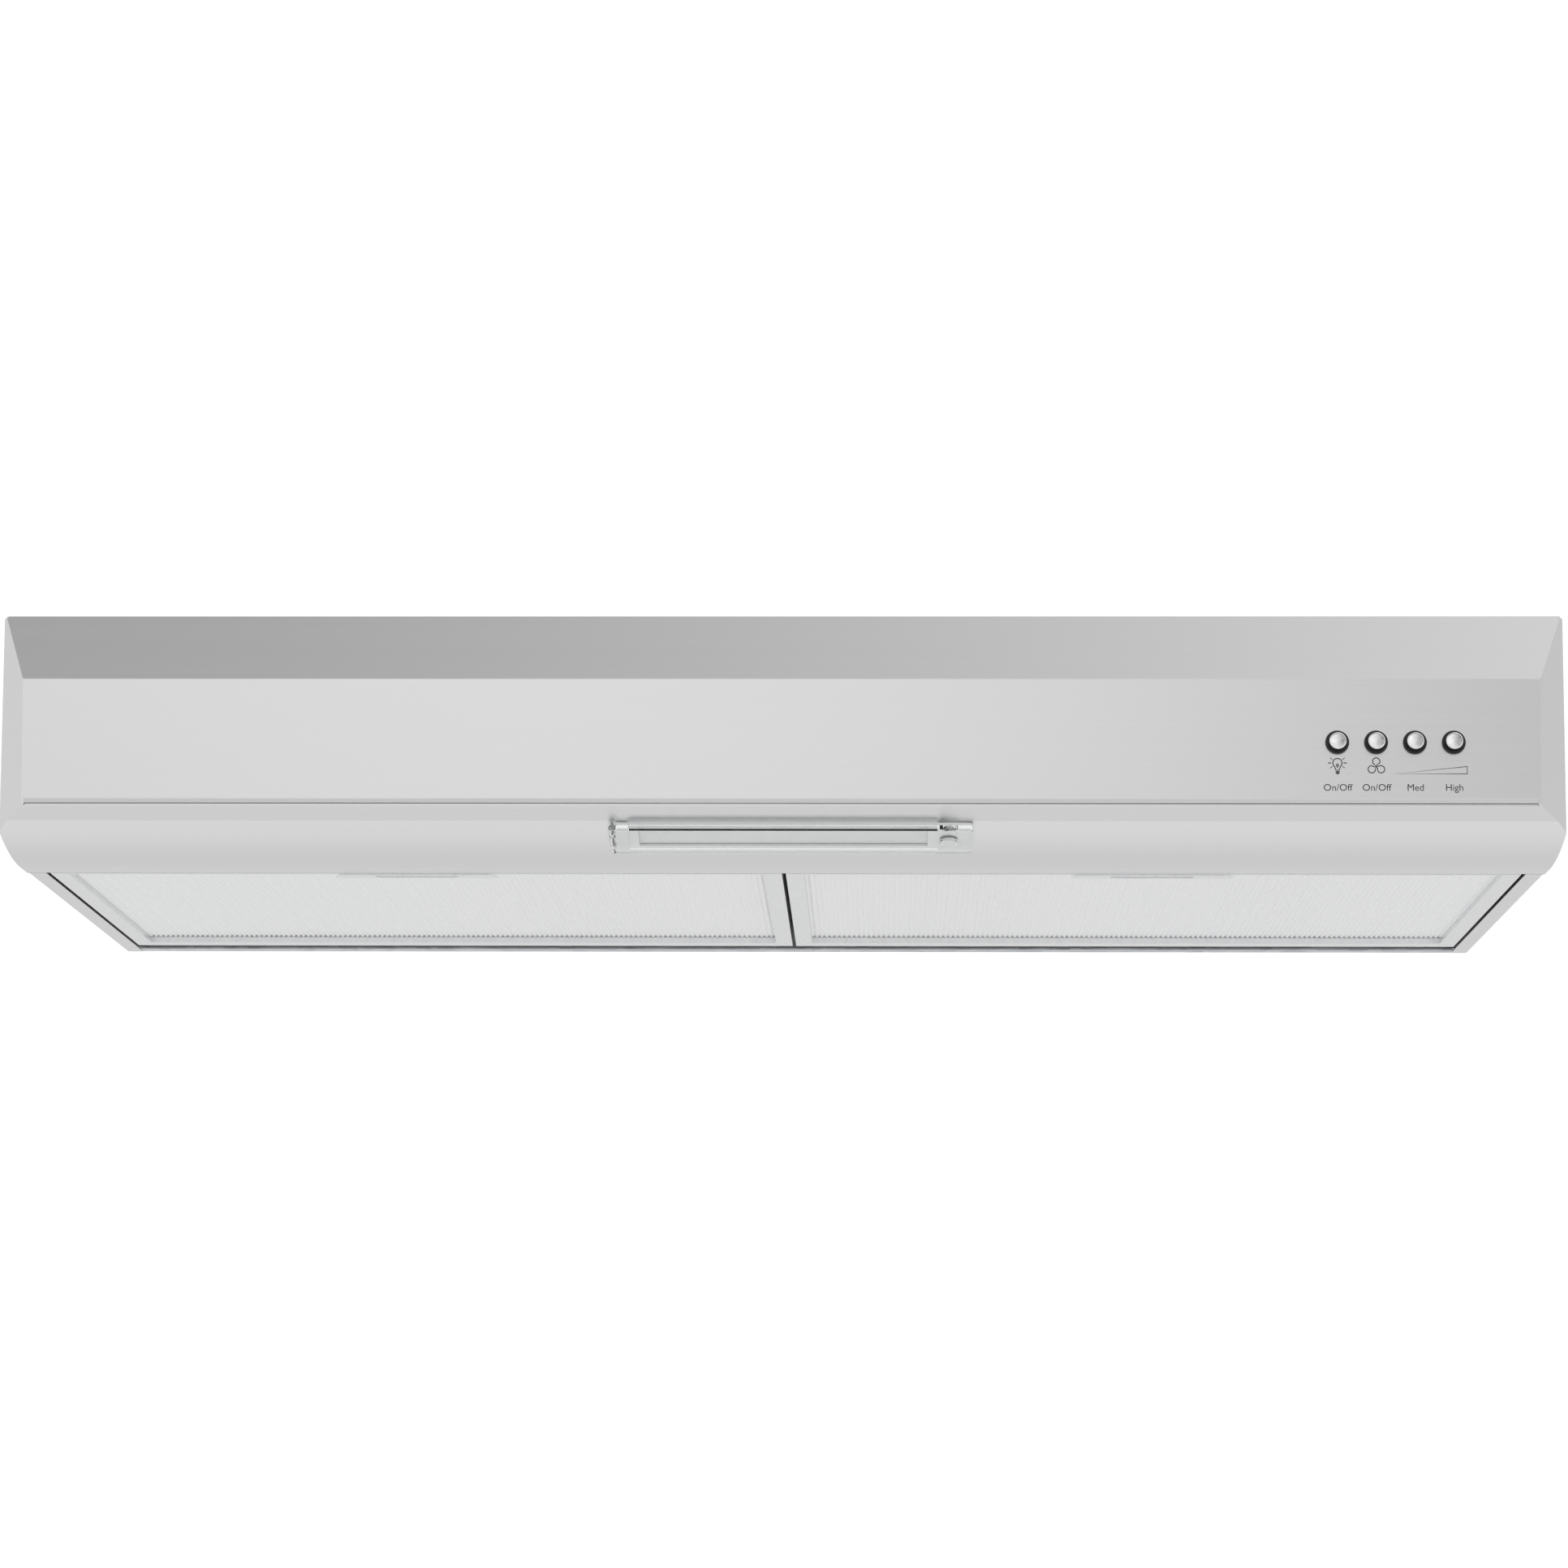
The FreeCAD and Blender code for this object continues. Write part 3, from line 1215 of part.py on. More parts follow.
def run_capacitor():
    """The motor's capacitor under the top panel."""
    z = INSIDE_TOP - CAPACITOR_RADIUS
    can = rod(CAPACITOR_RADIUS, CAPACITOR_LENGTH, V(CAPACITOR_X, CAPACITOR_Y, z), ALONG_X)
    rims = [e for e in can.Edges if e.CenterOfMass.distanceToPoint(V(CAPACITOR_X, CAPACITOR_Y, z)) < SMALL]
    can = can.makeFillet(CAPACITOR_RADIUS / 6, rims)
    studs = [rod(STUD_RADIUS, STUD_LENGTH,
                 V(CAPACITOR_X + CAPACITOR_LENGTH, CAPACITOR_Y + s * STUD_OFFSET, z), ALONG_X)
             for s in (-1, 1)]
    return joined([can] + studs)


def capacitor_strap():
    """The strap that holds the capacitor up."""
    r = CAPACITOR_RADIUS
    foot = STRAP_FOOT
    line = [
        (CAPACITOR_Y - r - foot, INSIDE_TOP - SHEET),
        (CAPACITOR_Y - r - SHEET, INSIDE_TOP - SHEET),
        (CAPACITOR_Y - r - SHEET, INSIDE_TOP - 2 * r - SHEET),
        (CAPACITOR_Y + r + SHEET, INSIDE_TOP - 2 * r - SHEET),
        (CAPACITOR_Y + r + SHEET, INSIDE_TOP - SHEET),
        (CAPACITOR_Y + r + foot, INSIDE_TOP - SHEET),
    ]
    face = strip(line, [0.0, r, r, 0.0], SHEET * STRAP_THICK_SHARE, in_frame_yz)
    middle = CAPACITOR_X + CAPACITOR_LENGTH / 2
    return pushed(face, middle - STRAP_WIDTH / 2, middle + STRAP_WIDTH / 2, ALONG_X)


# ---- Write every node ----
os.makedirs("parts", exist_ok=True)

CASING = {
    "top_panel": top_panel(),
    "front_panel": front_panel(),
    "back_panel": back_panel(),
    "rear_duct_cover": rear_duct_cover(),
    "light_panel": light_panel(),
    "rear_rail": rear_rail(),
    "filter_hooks": filter_hooks(),
    "filter_clips": filter_clips(),
    "sheet_screws": group(seam_screws() + collar_screws() + blower_screws()),
    "duct_collar": duct_collar(),
    "damper_pin": damper_pin(),
    "damper_flap": damper_flap(),
}
ELECTRICS = {
    "cable_entry_plate": cable_entry_plate(),
    "wiring_box": wiring_box(),
    "wiring_box_cover": wiring_box_cover(),
    "motor_cable": motor_cable(),
    "lamp_cable": lamp_cable(),
    "switch_cable": switch_cable(),
    "run_capacitor": run_capacitor(),
    "capacitor_strap": capacitor_strap(),
    "button_bezels": on_fascia(group(button_bezel(x) for x in BUTTON_PLACES)),
    "switch_block": on_fascia(switch_block()),
    "switch_bracket": on_fascia(switch_bracket()),
    "lamp_reflector": on_lamp(lamp_reflector()),
    "light_board": on_lamp(light_board()),
    "light_emitters": on_lamp(light_emitters()),
    "diffuser": on_lamp(diffuser()),
    "lens_hinge_pin": on_lamp(lens_hinge_pin()),
    "lamp_lens": on_lamp(lamp_lens()),
    "lens_screw": on_lamp(lens_screw()),
}
BLOWER = {
    "outlet_bridge": outlet_bridge(),
    "scroll_wrappers": scroll_wrappers(),
    "inlet_plates": inlet_plates(),
    "motor_plates": motor_plates(),
    "motor_shells": motor_shells(),
    "blower_shaft": blower_shaft(),
    "blower_wheels": blower_wheels(),
    "motor_stator": motor_stator(),
    "motor_windings": motor_windings(),
    "motor_rotor": motor_rotor(),
    "motor_bushes": motor_bushes(),
    "motor_mounts": motor_mounts(),
}

for nodes in (CASING, ELECTRICS, BLOWER):
    for node, shape in nodes.items():
        save(node, shape)
for side in FILTERS:
    save("side_panel_" + side, side_panel(side))
    save("filter_" + side + "_frame", filter_frame(side))
    save("filter_" + side + "_mesh", filter_mesh(side))
    save("filter_" + side + "_tab", filter_tab(side))
    save("filter_" + side + "_wire", filter_wire(side))
for name, x in zip(BUTTON_NAMES, BUTTON_PLACES):
    save("button_" + name + "_cap", on_fascia(button_cap(x)))
    stem = rod(PLUNGER_RADIUS, PLUNGER_LENGTH, V(x, CAP_TAIL, 0), ALONG_Y)
    save("button_" + name + "_plunger", on_fascia(stem))
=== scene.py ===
# %% [markdown]
# # A slim under cabinet range hood
# The hood's frame comes in as finished CAD parts, which already have the right size and place.
# This notebook gives each part its finish. It models afresh only what needs more than a plain CAD
# surface: the turned button caps and the ribbed mesh of the filters. It also adds the marks
# printed on the fascia. Everything is in metres, and +Z is up.

# %% Load the frame
import json
import math

import bpy
from mathutils import Matrix, Vector


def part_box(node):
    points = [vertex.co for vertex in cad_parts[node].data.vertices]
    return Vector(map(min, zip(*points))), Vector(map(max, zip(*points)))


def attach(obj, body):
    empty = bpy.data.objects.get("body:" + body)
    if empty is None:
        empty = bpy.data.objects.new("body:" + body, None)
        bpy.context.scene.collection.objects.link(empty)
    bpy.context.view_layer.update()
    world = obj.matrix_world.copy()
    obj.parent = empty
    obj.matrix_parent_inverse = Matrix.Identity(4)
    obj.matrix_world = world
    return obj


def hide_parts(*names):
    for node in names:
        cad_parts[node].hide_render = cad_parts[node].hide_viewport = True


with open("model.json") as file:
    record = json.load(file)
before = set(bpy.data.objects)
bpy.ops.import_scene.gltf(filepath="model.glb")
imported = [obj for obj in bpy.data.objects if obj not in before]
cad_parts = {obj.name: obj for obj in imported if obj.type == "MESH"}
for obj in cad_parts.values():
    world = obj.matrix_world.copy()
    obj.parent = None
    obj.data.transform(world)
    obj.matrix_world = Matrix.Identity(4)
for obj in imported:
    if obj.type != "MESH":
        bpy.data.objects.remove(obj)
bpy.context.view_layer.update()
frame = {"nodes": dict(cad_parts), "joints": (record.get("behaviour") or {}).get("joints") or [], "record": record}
MM = 0.001
nodes = frame["nodes"]
joints = {joint["name"]: joint for joint in frame["joints"]}

# %% [markdown]
# ## The camera
# A long lens far away keeps the hood's long edges nearly parallel. The camera stands below the
# hood and looks up at it, so the underside shows. Its place is measured from the hood's own box:
# so far to the right of the middle, so far in front of the fascia, so far below the bottom.

# %% Camera
casing_low = Vector(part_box("front_panel")[0])
fascia_y = casing_low.y
bottom_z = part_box("side_panel_left")[0].z
CAMERA_RIGHT = 0.0507
CAMERA_AHEAD = 2.4045
CAMERA_BELOW = 0.3344
CAMERA_PITCH = 0.1493
CAMERA_YAW = 0.0201
CAMERA_ROLL = 0.0036
CAMERA_LENS = 116.9

camera_data = bpy.data.cameras.new("camera")
camera = bpy.data.objects.new("camera", camera_data)
bpy.context.scene.collection.objects.link(camera)
camera_data.lens = CAMERA_LENS
camera_data.sensor_width = 36.0
camera_data.clip_end = 50.0
turn = Matrix.Rotation(CAMERA_YAW, 4, "Z") @ Matrix.Rotation(math.pi / 2 + CAMERA_PITCH, 4, "X")
camera.matrix_world = (
    Matrix.Translation((CAMERA_RIGHT, fascia_y - CAMERA_AHEAD, bottom_z - CAMERA_BELOW))
    @ turn
    @ Matrix.Rotation(CAMERA_ROLL, 4, "Z")
)
bpy.context.scene.camera = camera
print("camera at", [round(v, 3) for v in camera.location])

# %% [markdown]
# ## Studio
# The hood hangs over a plain pale floor. Brushed steel has no colour of its own to speak of: it
# shows its surroundings, softened. So the sky is one pale grey below the hood, and runs from side
# to side through lighter and darker greys ahead of it and above it. Three big soft lights help.

# %% Sky, floor and lights
bpy.context.scene.view_settings.view_transform = "Standard"
FLOOR_Z = -1.6
SIDE_REACH = 0.5
AHEAD_HEIGHTS = (0.5, 0.57)
ABOVE_HEIGHTS = (0.72, 0.84)
BELOW_GREYS = ((0.0, 0.84), (1.0, 0.84))
AHEAD_GREYS = (
    (0.0, 0.7), (0.2, 0.45), (0.38, 0.85), (0.5, 0.95), (0.62, 0.5), (0.8, 0.12), (1.0, 0.62),
)
ABOVE_GREYS = ((0.0, 0.6), (0.25, 0.35), (0.4, 0.42), (0.6, 0.72), (0.75, 1.0), (1.0, 0.8))
SKY_STRENGTH = 1.12
BACKDROP_STRENGTH = 1.05
FLOOR_SIZE = 30.0
FLOOR_GLOW = 0.06
# Each light: its place, the point it faces, its size and its power.
LIGHTS = {
    "key": ((-0.6, -2.6, 1.0), (0.05, -0.2, -0.06), (2.6, 1.2), 2),
    "fill": ((1.6, -1.6, -0.4), (0.1, 0.0, -0.1), (1.2, 1.2), 1.5),
    "floor_bounce": ((0.0, 0.6, -1.3), (0.0, 0.1, -0.1), (2.4, 1.4), 2),
}


def add_node(tree, kind, **settings):
    """A shader node with its settings and the values of its inputs."""
    node = tree.nodes.new(kind)
    inputs = settings.pop("inputs", {})
    for name, value in settings.items():
        setattr(node, name, value)
    for name, value in inputs.items():
        node.inputs[name].default_value = value
    return node


def ramp(tree, stops):
    """A colour ramp of greys from (place, grey) pairs."""
    node = tree.nodes.new("ShaderNodeValToRGB")
    elements = node.color_ramp.elements
    while len(elements) < len(stops):
        elements.new(0.5)
    for element, (place, grey) in zip(elements, stops):
        element.position = place
        element.color = (grey, grey, grey, 1.0)
    return node


def make_sky():
    """Greys by height and by side for reflections, and plain white where the camera looks."""
    world = bpy.data.worlds.new("studio")
    bpy.context.scene.world = world
    world.use_nodes = True
    tree = world.node_tree
    tree.nodes.clear()
    place = add_node(tree, "ShaderNodeTexCoord")
    split = add_node(tree, "ShaderNodeSeparateXYZ")
    tree.links.new(place.outputs["Generated"], split.inputs[0])
    height = add_node(tree, "ShaderNodeMapRange", inputs={"From Min": -1.0, "From Max": 1.0})
    tree.links.new(split.outputs["Z"], height.inputs["Value"])
    side = add_node(tree, "ShaderNodeMapRange",
                    inputs={"From Min": -SIDE_REACH, "From Max": SIDE_REACH})
    tree.links.new(split.outputs["X"], side.inputs["Value"])
    below = ramp(tree, BELOW_GREYS)
    ahead = ramp(tree, AHEAD_GREYS)
    above = ramp(tree, ABOVE_GREYS)
    for greys in (below, ahead, above):
        tree.links.new(side.outputs[0], greys.inputs[0])
    colour = below.outputs[0]
    for greys, (start, end) in ((ahead, AHEAD_HEIGHTS), (above, ABOVE_HEIGHTS)):
        change = add_node(tree, "ShaderNodeMapRange", interpolation_type="SMOOTHSTEP",
                          inputs={"From Min": start, "From Max": end})
        tree.links.new(height.outputs[0], change.inputs["Value"])
        blend = add_node(tree, "ShaderNodeMix", data_type="RGBA")
        tree.links.new(change.outputs[0], blend.inputs[0])
        tree.links.new(colour, blend.inputs[6])
        tree.links.new(greys.outputs[0], blend.inputs[7])
        colour = blend.outputs[2]
    glow = add_node(tree, "ShaderNodeBackground", inputs={"Strength": SKY_STRENGTH})
    tree.links.new(colour, glow.inputs["Color"])
    white = add_node(tree, "ShaderNodeBackground",
                     inputs={"Color": (1, 1, 1, 1), "Strength": BACKDROP_STRENGTH})
    path = add_node(tree, "ShaderNodeLightPath")
    mix = add_node(tree, "ShaderNodeMixShader")
    tree.links.new(path.outputs["Is Camera Ray"], mix.inputs[0])
    tree.links.new(glow.outputs[0], mix.inputs[1])
    tree.links.new(white.outputs[0], mix.inputs[2])
    output = add_node(tree, "ShaderNodeOutputWorld")
    tree.links.new(mix.outputs[0], output.inputs[0])


def add_light(name, place, target, size, power):
    """A soft rectangular light that faces a point."""
    data = bpy.data.lights.new(name, "AREA")
    data.shape = "RECTANGLE"
    data.size, data.size_y = size
    data.energy = power
    light = bpy.data.objects.new(name, data)
    light.location = place
    light.rotation_euler = (Vector(target) - Vector(place)).to_track_quat("-Z", "Y").to_euler()
    bpy.context.scene.collection.objects.link(light)


make_sky()
bpy.ops.mesh.primitive_plane_add(size=FLOOR_SIZE, location=(0, 0, FLOOR_Z))
floor = bpy.context.object
floor.name = "studio_floor"
floor_paint = bpy.data.materials.new("floor_paint")
floor_paint.use_nodes = True
floor_shader = floor_paint.node_tree.nodes["Principled BSDF"]
floor_shader.inputs["Base Color"].default_value = (0.9, 0.9, 0.9, 1)
floor_shader.inputs["Roughness"].default_value = 0.9
floor_shader.inputs["Emission Color"].default_value = (1, 1, 1, 1)
floor_shader.inputs["Emission Strength"].default_value = FLOOR_GLOW
floor.data.materials.append(floor_paint)
for light_name, settings in LIGHTS.items():
    add_light(light_name, *settings)
print("studio ready")

# %% [markdown]
# ## Finishes
# Every finish is a small node tree. Patterns read Object coordinates, which here are the hood's
# own metres, so a grain line is as wide on the part as the number says. Brushed stainless is
# stretched noise: fine across the grain, long along it. It moves the roughness, the tone and a
# very shallow bump together, because a real brush mark does all three.


# %% Brushed stainless and other sheet metals
def start_finish(name, colour, roughness, metallic=0.0):
    """A material with one Principled shader whose plain values are set on its own sockets."""
    finish = bpy.data.materials.new(name)
    finish.use_nodes = True
    tree = finish.node_tree
    shader = tree.nodes["Principled BSDF"]
    shader.inputs["Base Color"].default_value = (*colour, 1.0)
    shader.inputs["Roughness"].default_value = roughness
    shader.inputs["Metallic"].default_value = metallic
    return finish, tree, shader


def noise_at(tree, scale, detail=2.0, rough=0.5, location=(0, 0, 0)):
    """Noise on Object coordinates, stretched by a scale for each axis."""
    place = add_node(tree, "ShaderNodeTexCoord")
    mapping = add_node(tree, "ShaderNodeMapping", inputs={"Scale": scale, "Location": location})
    noise = add_node(tree, "ShaderNodeTexNoise",
                     inputs={"Scale": 1.0, "Detail": detail, "Roughness": rough})
    tree.links.new(place.outputs["Object"], mapping.inputs["Vector"])
    tree.links.new(mapping.outputs["Vector"], noise.inputs["Vector"])
    return noise.outputs["Fac"]


def ranged(tree, value, low, high, start=0.3, end=0.7):
    """A 0-to-1 value spread between two limits."""
    node = add_node(tree, "ShaderNodeMapRange",
                    inputs={"From Min": start, "From Max": end, "To Min": low, "To Max": high})
    tree.links.new(value, node.inputs["Value"])
    return node.outputs[0]


def tone(tree, shader, value, dark, light):
    """Moves the base colour between two colours."""
    mix = add_node(tree, "ShaderNodeMix", data_type="RGBA")
    mix.inputs[6].default_value = (*dark, 1.0)
    mix.inputs[7].default_value = (*light, 1.0)
    tree.links.new(value, mix.inputs[0])
    tree.links.new(mix.outputs[2], shader.inputs["Base Color"])


def bump(tree, shader, value, distance, strength=1.0):
    """A shallow relief."""
    node = add_node(tree, "ShaderNodeBump", inputs={"Distance": distance, "Strength": strength})
    tree.links.new(value, node.inputs["Height"])
    tree.links.new(node.outputs[0], shader.inputs["Normal"])


def added(tree, first, second, weight):
    """first + second * weight."""
    node = add_node(tree, "ShaderNodeMath", operation="MULTIPLY_ADD", inputs={1: weight})
    tree.links.new(second, node.inputs[0])
    tree.links.new(first, node.inputs[2])
    return node.outputs[0]


def brushed(name, grain, dark=0.725, light=0.755, smooth=0.28, rough=0.33):
    """Stainless sheet brushed along one axis: 0 for X, 1 for Y, 2 for Z."""
    finish, tree, shader = start_finish(name, (0.7, 0.7, 0.71), 0.28, 1.0)
    fine, broad = [3600.0] * 3, [700.0] * 3
    fine[grain], broad[grain] = 9.0, 1.6
    streaks = noise_at(tree, fine, 3.0)
    bands = noise_at(tree, broad, 2.0, location=(3.1, 1.7, 5.3))
    both = added(tree, ranged(tree, streaks, 0.0, 0.7), ranged(tree, bands, 0.0, 1.0), 0.3)
    tone(tree, shader, both, (dark, dark, dark * 1.01), (light, light, light * 1.005))
    tree.links.new(ranged(tree, both, smooth, rough, 0.0, 1.0), shader.inputs["Roughness"])
    bump(tree, shader, streaks, 0.00001, 0.15)
    return finish


def zinc(name):
    """Zinc-coated sheet: flat crystal spangles of slightly different greys."""
    finish, tree, shader = start_finish(name, (0.6, 0.62, 0.64), 0.4, 1.0)
    place = add_node(tree, "ShaderNodeTexCoord")
    cells = add_node(tree, "ShaderNodeTexVoronoi", inputs={"Scale": 120.0, "Randomness": 1.0})
    tree.links.new(place.outputs["Object"], cells.inputs["Vector"])
    split = add_node(tree, "ShaderNodeSeparateColor")
    tree.links.new(cells.outputs["Color"], split.inputs[0])
    tone(tree, shader, split.outputs[0], (0.5, 0.52, 0.55), (0.68, 0.7, 0.72))
    tree.links.new(ranged(tree, split.outputs[1], 0.3, 0.5, 0.0, 1.0), shader.inputs["Roughness"])
    bump(tree, shader, noise_at(tree, (400, 400, 400), 2.0), 0.00002, 0.3)
    return finish


def cloudy_metal(name, dark, light, roughness, size=300.0, depth=0.00001):
    """Metal with a soft, fine variation of tone and sheen."""
    finish, tree, shader = start_finish(name, light, roughness, 1.0)
    cloud = noise_at(tree, (size, size, size), 3.0)
    tone(tree, shader, ranged(tree, cloud, 0.0, 1.0), dark, light)
    tree.links.new(ranged(tree, cloud, roughness * 0.75, roughness * 1.3), shader.inputs["Roughness"])
    bump(tree, shader, cloud, depth, 0.4)
    return finish


def moulded(name, dark, light, roughness, grain=900.0, depth=0.00003):
    """Moulded plastic, rubber or enamel: a fine orange-peel grain and a faint change of tone."""
    finish, tree, shader = start_finish(name, light, roughness)
    peel = noise_at(tree, (grain, grain, grain), 2.0)
    cloud = noise_at(tree, (25.0, 25.0, 25.0), 2.0, location=(7.0, 2.0, 4.0))
    tone(tree, shader, ranged(tree, cloud, 0.0, 1.0), dark, light)
    tree.links.new(ranged(tree, peel, roughness * 0.85, roughness * 1.15), shader.inputs["Roughness"])
    bump(tree, shader, peel, depth, 0.4)
    return finish


finishes = {
    "stainless": brushed("stainless_across", 0),
    "stainless_back": brushed("stainless_back_to_front", 1),
    "galvanised": zinc("zinc_coated_sheet"),
    "filter_aluminium": cloudy_metal("filter_aluminium", (0.8, 0.805, 0.81), (0.86, 0.865, 0.87), 0.34),
    "bright_steel": cloudy_metal("bright_steel", (0.6, 0.6, 0.6), (0.74, 0.74, 0.75), 0.22),
    "button_metal": cloudy_metal("button_metal", (0.7, 0.7, 0.71), (0.82, 0.82, 0.83), 0.2),
    "black_plastic": moulded("black_plastic", (0.012, 0.012, 0.013), (0.02, 0.02, 0.021), 0.38),
    "white_enamel": moulded("white_enamel", (0.78, 0.78, 0.77), (0.84, 0.84, 0.83), 0.3, 500.0),
    "diffuser_white": moulded("diffuser_white", (0.8, 0.81, 0.81), (0.86, 0.87, 0.87), 0.5),
    "circuit_board": moulded("circuit_board", (0.7, 0.72, 0.7), (0.8, 0.81, 0.79), 0.45),
    "emitter_amber": moulded("emitter_amber", (0.7, 0.5, 0.08), (0.8, 0.6, 0.12), 0.25),
    "cable_sheath": moulded("cable_sheath", (0.1, 0.1, 0.105), (0.15, 0.15, 0.155), 0.5),
    "motor_black": moulded("motor_black", (0.015, 0.015, 0.016), (0.03, 0.03, 0.031), 0.4),
    "iron_core": brushed("iron_laminations", 1, 0.16, 0.3, 0.4, 0.6),
    "copper_wire": cloudy_metal("copper_wire", (0.45, 0.17, 0.07), (0.62, 0.27, 0.12), 0.3, 900.0),
    "bronze": cloudy_metal("bronze", (0.42, 0.28, 0.12), (0.55, 0.38, 0.18), 0.35, 700.0),
    "mount_rubber": moulded("mount_rubber", (0.01, 0.01, 0.01), (0.02, 0.02, 0.02), 0.7),
    "capacitor_can": cloudy_metal("capacitor_can", (0.62, 0.63, 0.64), (0.74, 0.75, 0.76), 0.3),
}
print("finishes", len(finishes))


# %% [markdown]
# ## Give the CAD parts their finishes
# The record names one material slot for each part. A part whose shape is already right keeps its
# mesh and only takes the finish of its slot.

# %% Finish the CAD parts
MESH_CELLS = (900.0, 420.0, 420.0)
DIFFUSER_GLOW = 0.15


def clear_lens_finish():
    """Clear moulded plastic: light passes through it and bends a little."""
    finish, tree, shader = start_finish("clear_lens", (0.97, 0.98, 0.98), 0.04)
    shader.inputs["Transmission Weight"].default_value = 1.0
    shader.inputs["IOR"].default_value = 1.49
    ripple = noise_at(tree, (60.0, 60.0, 60.0), 2.0)
    bump(tree, shader, ripple, 0.00006, 0.5)
    return finish


def mesh_finish():
    """Fine expanded aluminium: thin diamond strands drawn with a painted highlight on their edges, over painted
    shade on the pale layers behind.
    """
    finish, tree, shader = start_finish("filter_mesh", (0.95, 0.95, 0.955), 0.5, 0.55)
    place = add_node(tree, "ShaderNodeTexCoord")
    mapping = add_node(tree, "ShaderNodeMapping", inputs={"Scale": MESH_CELLS})
    cells = add_node(tree, "ShaderNodeTexVoronoi", feature="DISTANCE_TO_EDGE",
                     inputs={"Scale": 1.0, "Randomness": 0.35})
    tree.links.new(place.outputs["Object"], mapping.inputs["Vector"])
    tree.links.new(mapping.outputs["Vector"], cells.inputs["Vector"])
    # Painted light: the distance to the cell edges also sets the tone. It is lighter along the edges, a painted
    # highlight on the strands, and darker in the cell middles, painted shade on the layers behind. The same value
    # drives the real relief of the bump.
    strand_highlight_and_shade = ranged(tree, cells.outputs["Distance"], 0.0, 1.0, 0.02, 0.3)
    tone(tree, shader, strand_highlight_and_shade, (0.97, 0.97, 0.975), (0.9, 0.905, 0.91))
    bump(tree, shader, strand_highlight_and_shade, 0.0002, 0.3)
    return finish


finishes["clear_lens"] = clear_lens_finish()
diffuser_shader = finishes["diffuser_white"].node_tree.nodes["Principled BSDF"]
diffuser_shader.inputs["Emission Color"].default_value = (1.0, 1.0, 0.99, 1.0)
diffuser_shader.inputs["Emission Strength"].default_value = DIFFUSER_GLOW
finishes["mesh"] = mesh_finish()
slot_of = {row["node"]: row["material_slot"] for row in frame["record"]["subparts"]}


def wear(piece, slot, finish=None):
    """Give a piece the finish of a slot, or another finish when one is given."""
    piece.data.materials.clear()
    piece.data.materials.append(finish or finishes[slot])


for name, node in nodes.items():
    wear(node, slot_of[name])
for name in ("side_panel_left", "side_panel_right"):
    wear(nodes[name], "stainless", finishes["stainless_back"])
print("finished", len(nodes), "parts")

# %% [markdown]
# ## Tools for modelling on a leaning face
# The fascia leans back a little, and the buttons travel straight into it. A button's joint gives
# that direction, and a ray shot at the front panel gives a point on its face. Each piece is
# modelled in a plain upright frame, X to the right, Y up the fascia, Z out of it, and then its
# mesh is carried to the fascia in one move, so that its object stays at the origin.

# %% The fascia's own frame
inward = Vector(joints["button_lamp_press"]["axis"]).normalized()
outward = -inward
across = Vector((1, 0, 0))
upward = outward.cross(across).normalized()
BUTTONS = ("lamp", "fan", "medium", "high")


def middle_of(node):
    """The middle of a CAD node's box."""
    low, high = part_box(node)
    return (low + high) / 2


def face_point(node, start):
    """Where a ray from a point in front of the fascia first meets a CAD node."""
    hit, place, normal, index = nodes[node].ray_cast(start + outward * 0.1, inward)
    return place


def fascia_frame(origin):
    """The matrix from the upright modelling frame to a place on the fascia."""
    turned = Matrix((across, upward, outward)).transposed().to_4x4()
    return Matrix.Translation(origin) @ turned


def fresh():
    """Deselect all, so that the next operator acts on the new piece alone."""
    bpy.ops.object.select_all(action="DESELECT")


def settle(piece, matrix=None):
    """Bake a piece's place into its mesh, so that its object is at the origin."""
    fresh()
    piece.select_set(True)
    bpy.context.view_layer.objects.active = piece
    if matrix:
        piece.matrix_world = matrix @ piece.matrix_world
    bpy.ops.object.transform_apply(location=True, rotation=True, scale=True)


def join_all(parts, name):
    """Several meshes become one, named piece."""
    fresh()
    for part in parts:
        part.select_set(True)
    bpy.context.view_layer.objects.active = parts[0]
    bpy.ops.object.join()
    parts[0].name = name
    return parts[0]


print("fascia leans", round(math.degrees(math.asin(outward.z)), 2), "degrees")

# %% [markdown]
# ## The printed marks
# Under the buttons the panel carries small grey prints: a lamp, a fan, a rising wedge and four
# words. A print is ink a few hundredths of a millimetre thick. Each line of a drawing starts as a
# circle primitive whose corners are put on the outline's points; turned into a curve, it gets a
# round line's thickness, and turned back into a mesh it is flattened to an ink film.

# %% Ink lines and words
LINE = 0.24 * MM
INK = 0.02 * MM
ink, ink_tree, ink_shader = start_finish("printed_ink", (0.018, 0.018, 0.019), 0.5)
ink_cloud = noise_at(ink_tree, (3000.0, 3000.0, 3000.0))
ink_tree.links.new(ranged(ink_tree, ink_cloud, 0.42, 0.6), ink_shader.inputs["Roughness"])


def ink_loop(points, cyclic=True):
    """A line through the points, as a thin mesh."""
    fresh()
    bpy.ops.mesh.primitive_circle_add(vertices=len(points), radius=MM)
    loop = bpy.context.object
    for vertex, (x, y) in zip(loop.data.vertices, points):
        vertex.co = (x * MM, y * MM, 0.0)
    bpy.ops.object.convert(target="CURVE")
    loop.data.splines[0].use_cyclic_u = cyclic
    loop.data.bevel_depth = LINE
    loop.data.bevel_resolution = 1
    loop.data.use_fill_caps = True
    bpy.ops.object.convert(target="MESH")
    loop.scale.z = INK / LINE
    settle(loop)
    return loop


def ink_bar(x, y, length, degrees):
    """A straight stroke centred at x, y."""
    half_x = math.cos(math.radians(degrees)) * length / 2
    half_y = math.sin(math.radians(degrees)) * length / 2
    middle = (x, y)
    return ink_loop([(x - half_x, y - half_y), middle, (x + half_x, y + half_y)], cyclic=False)


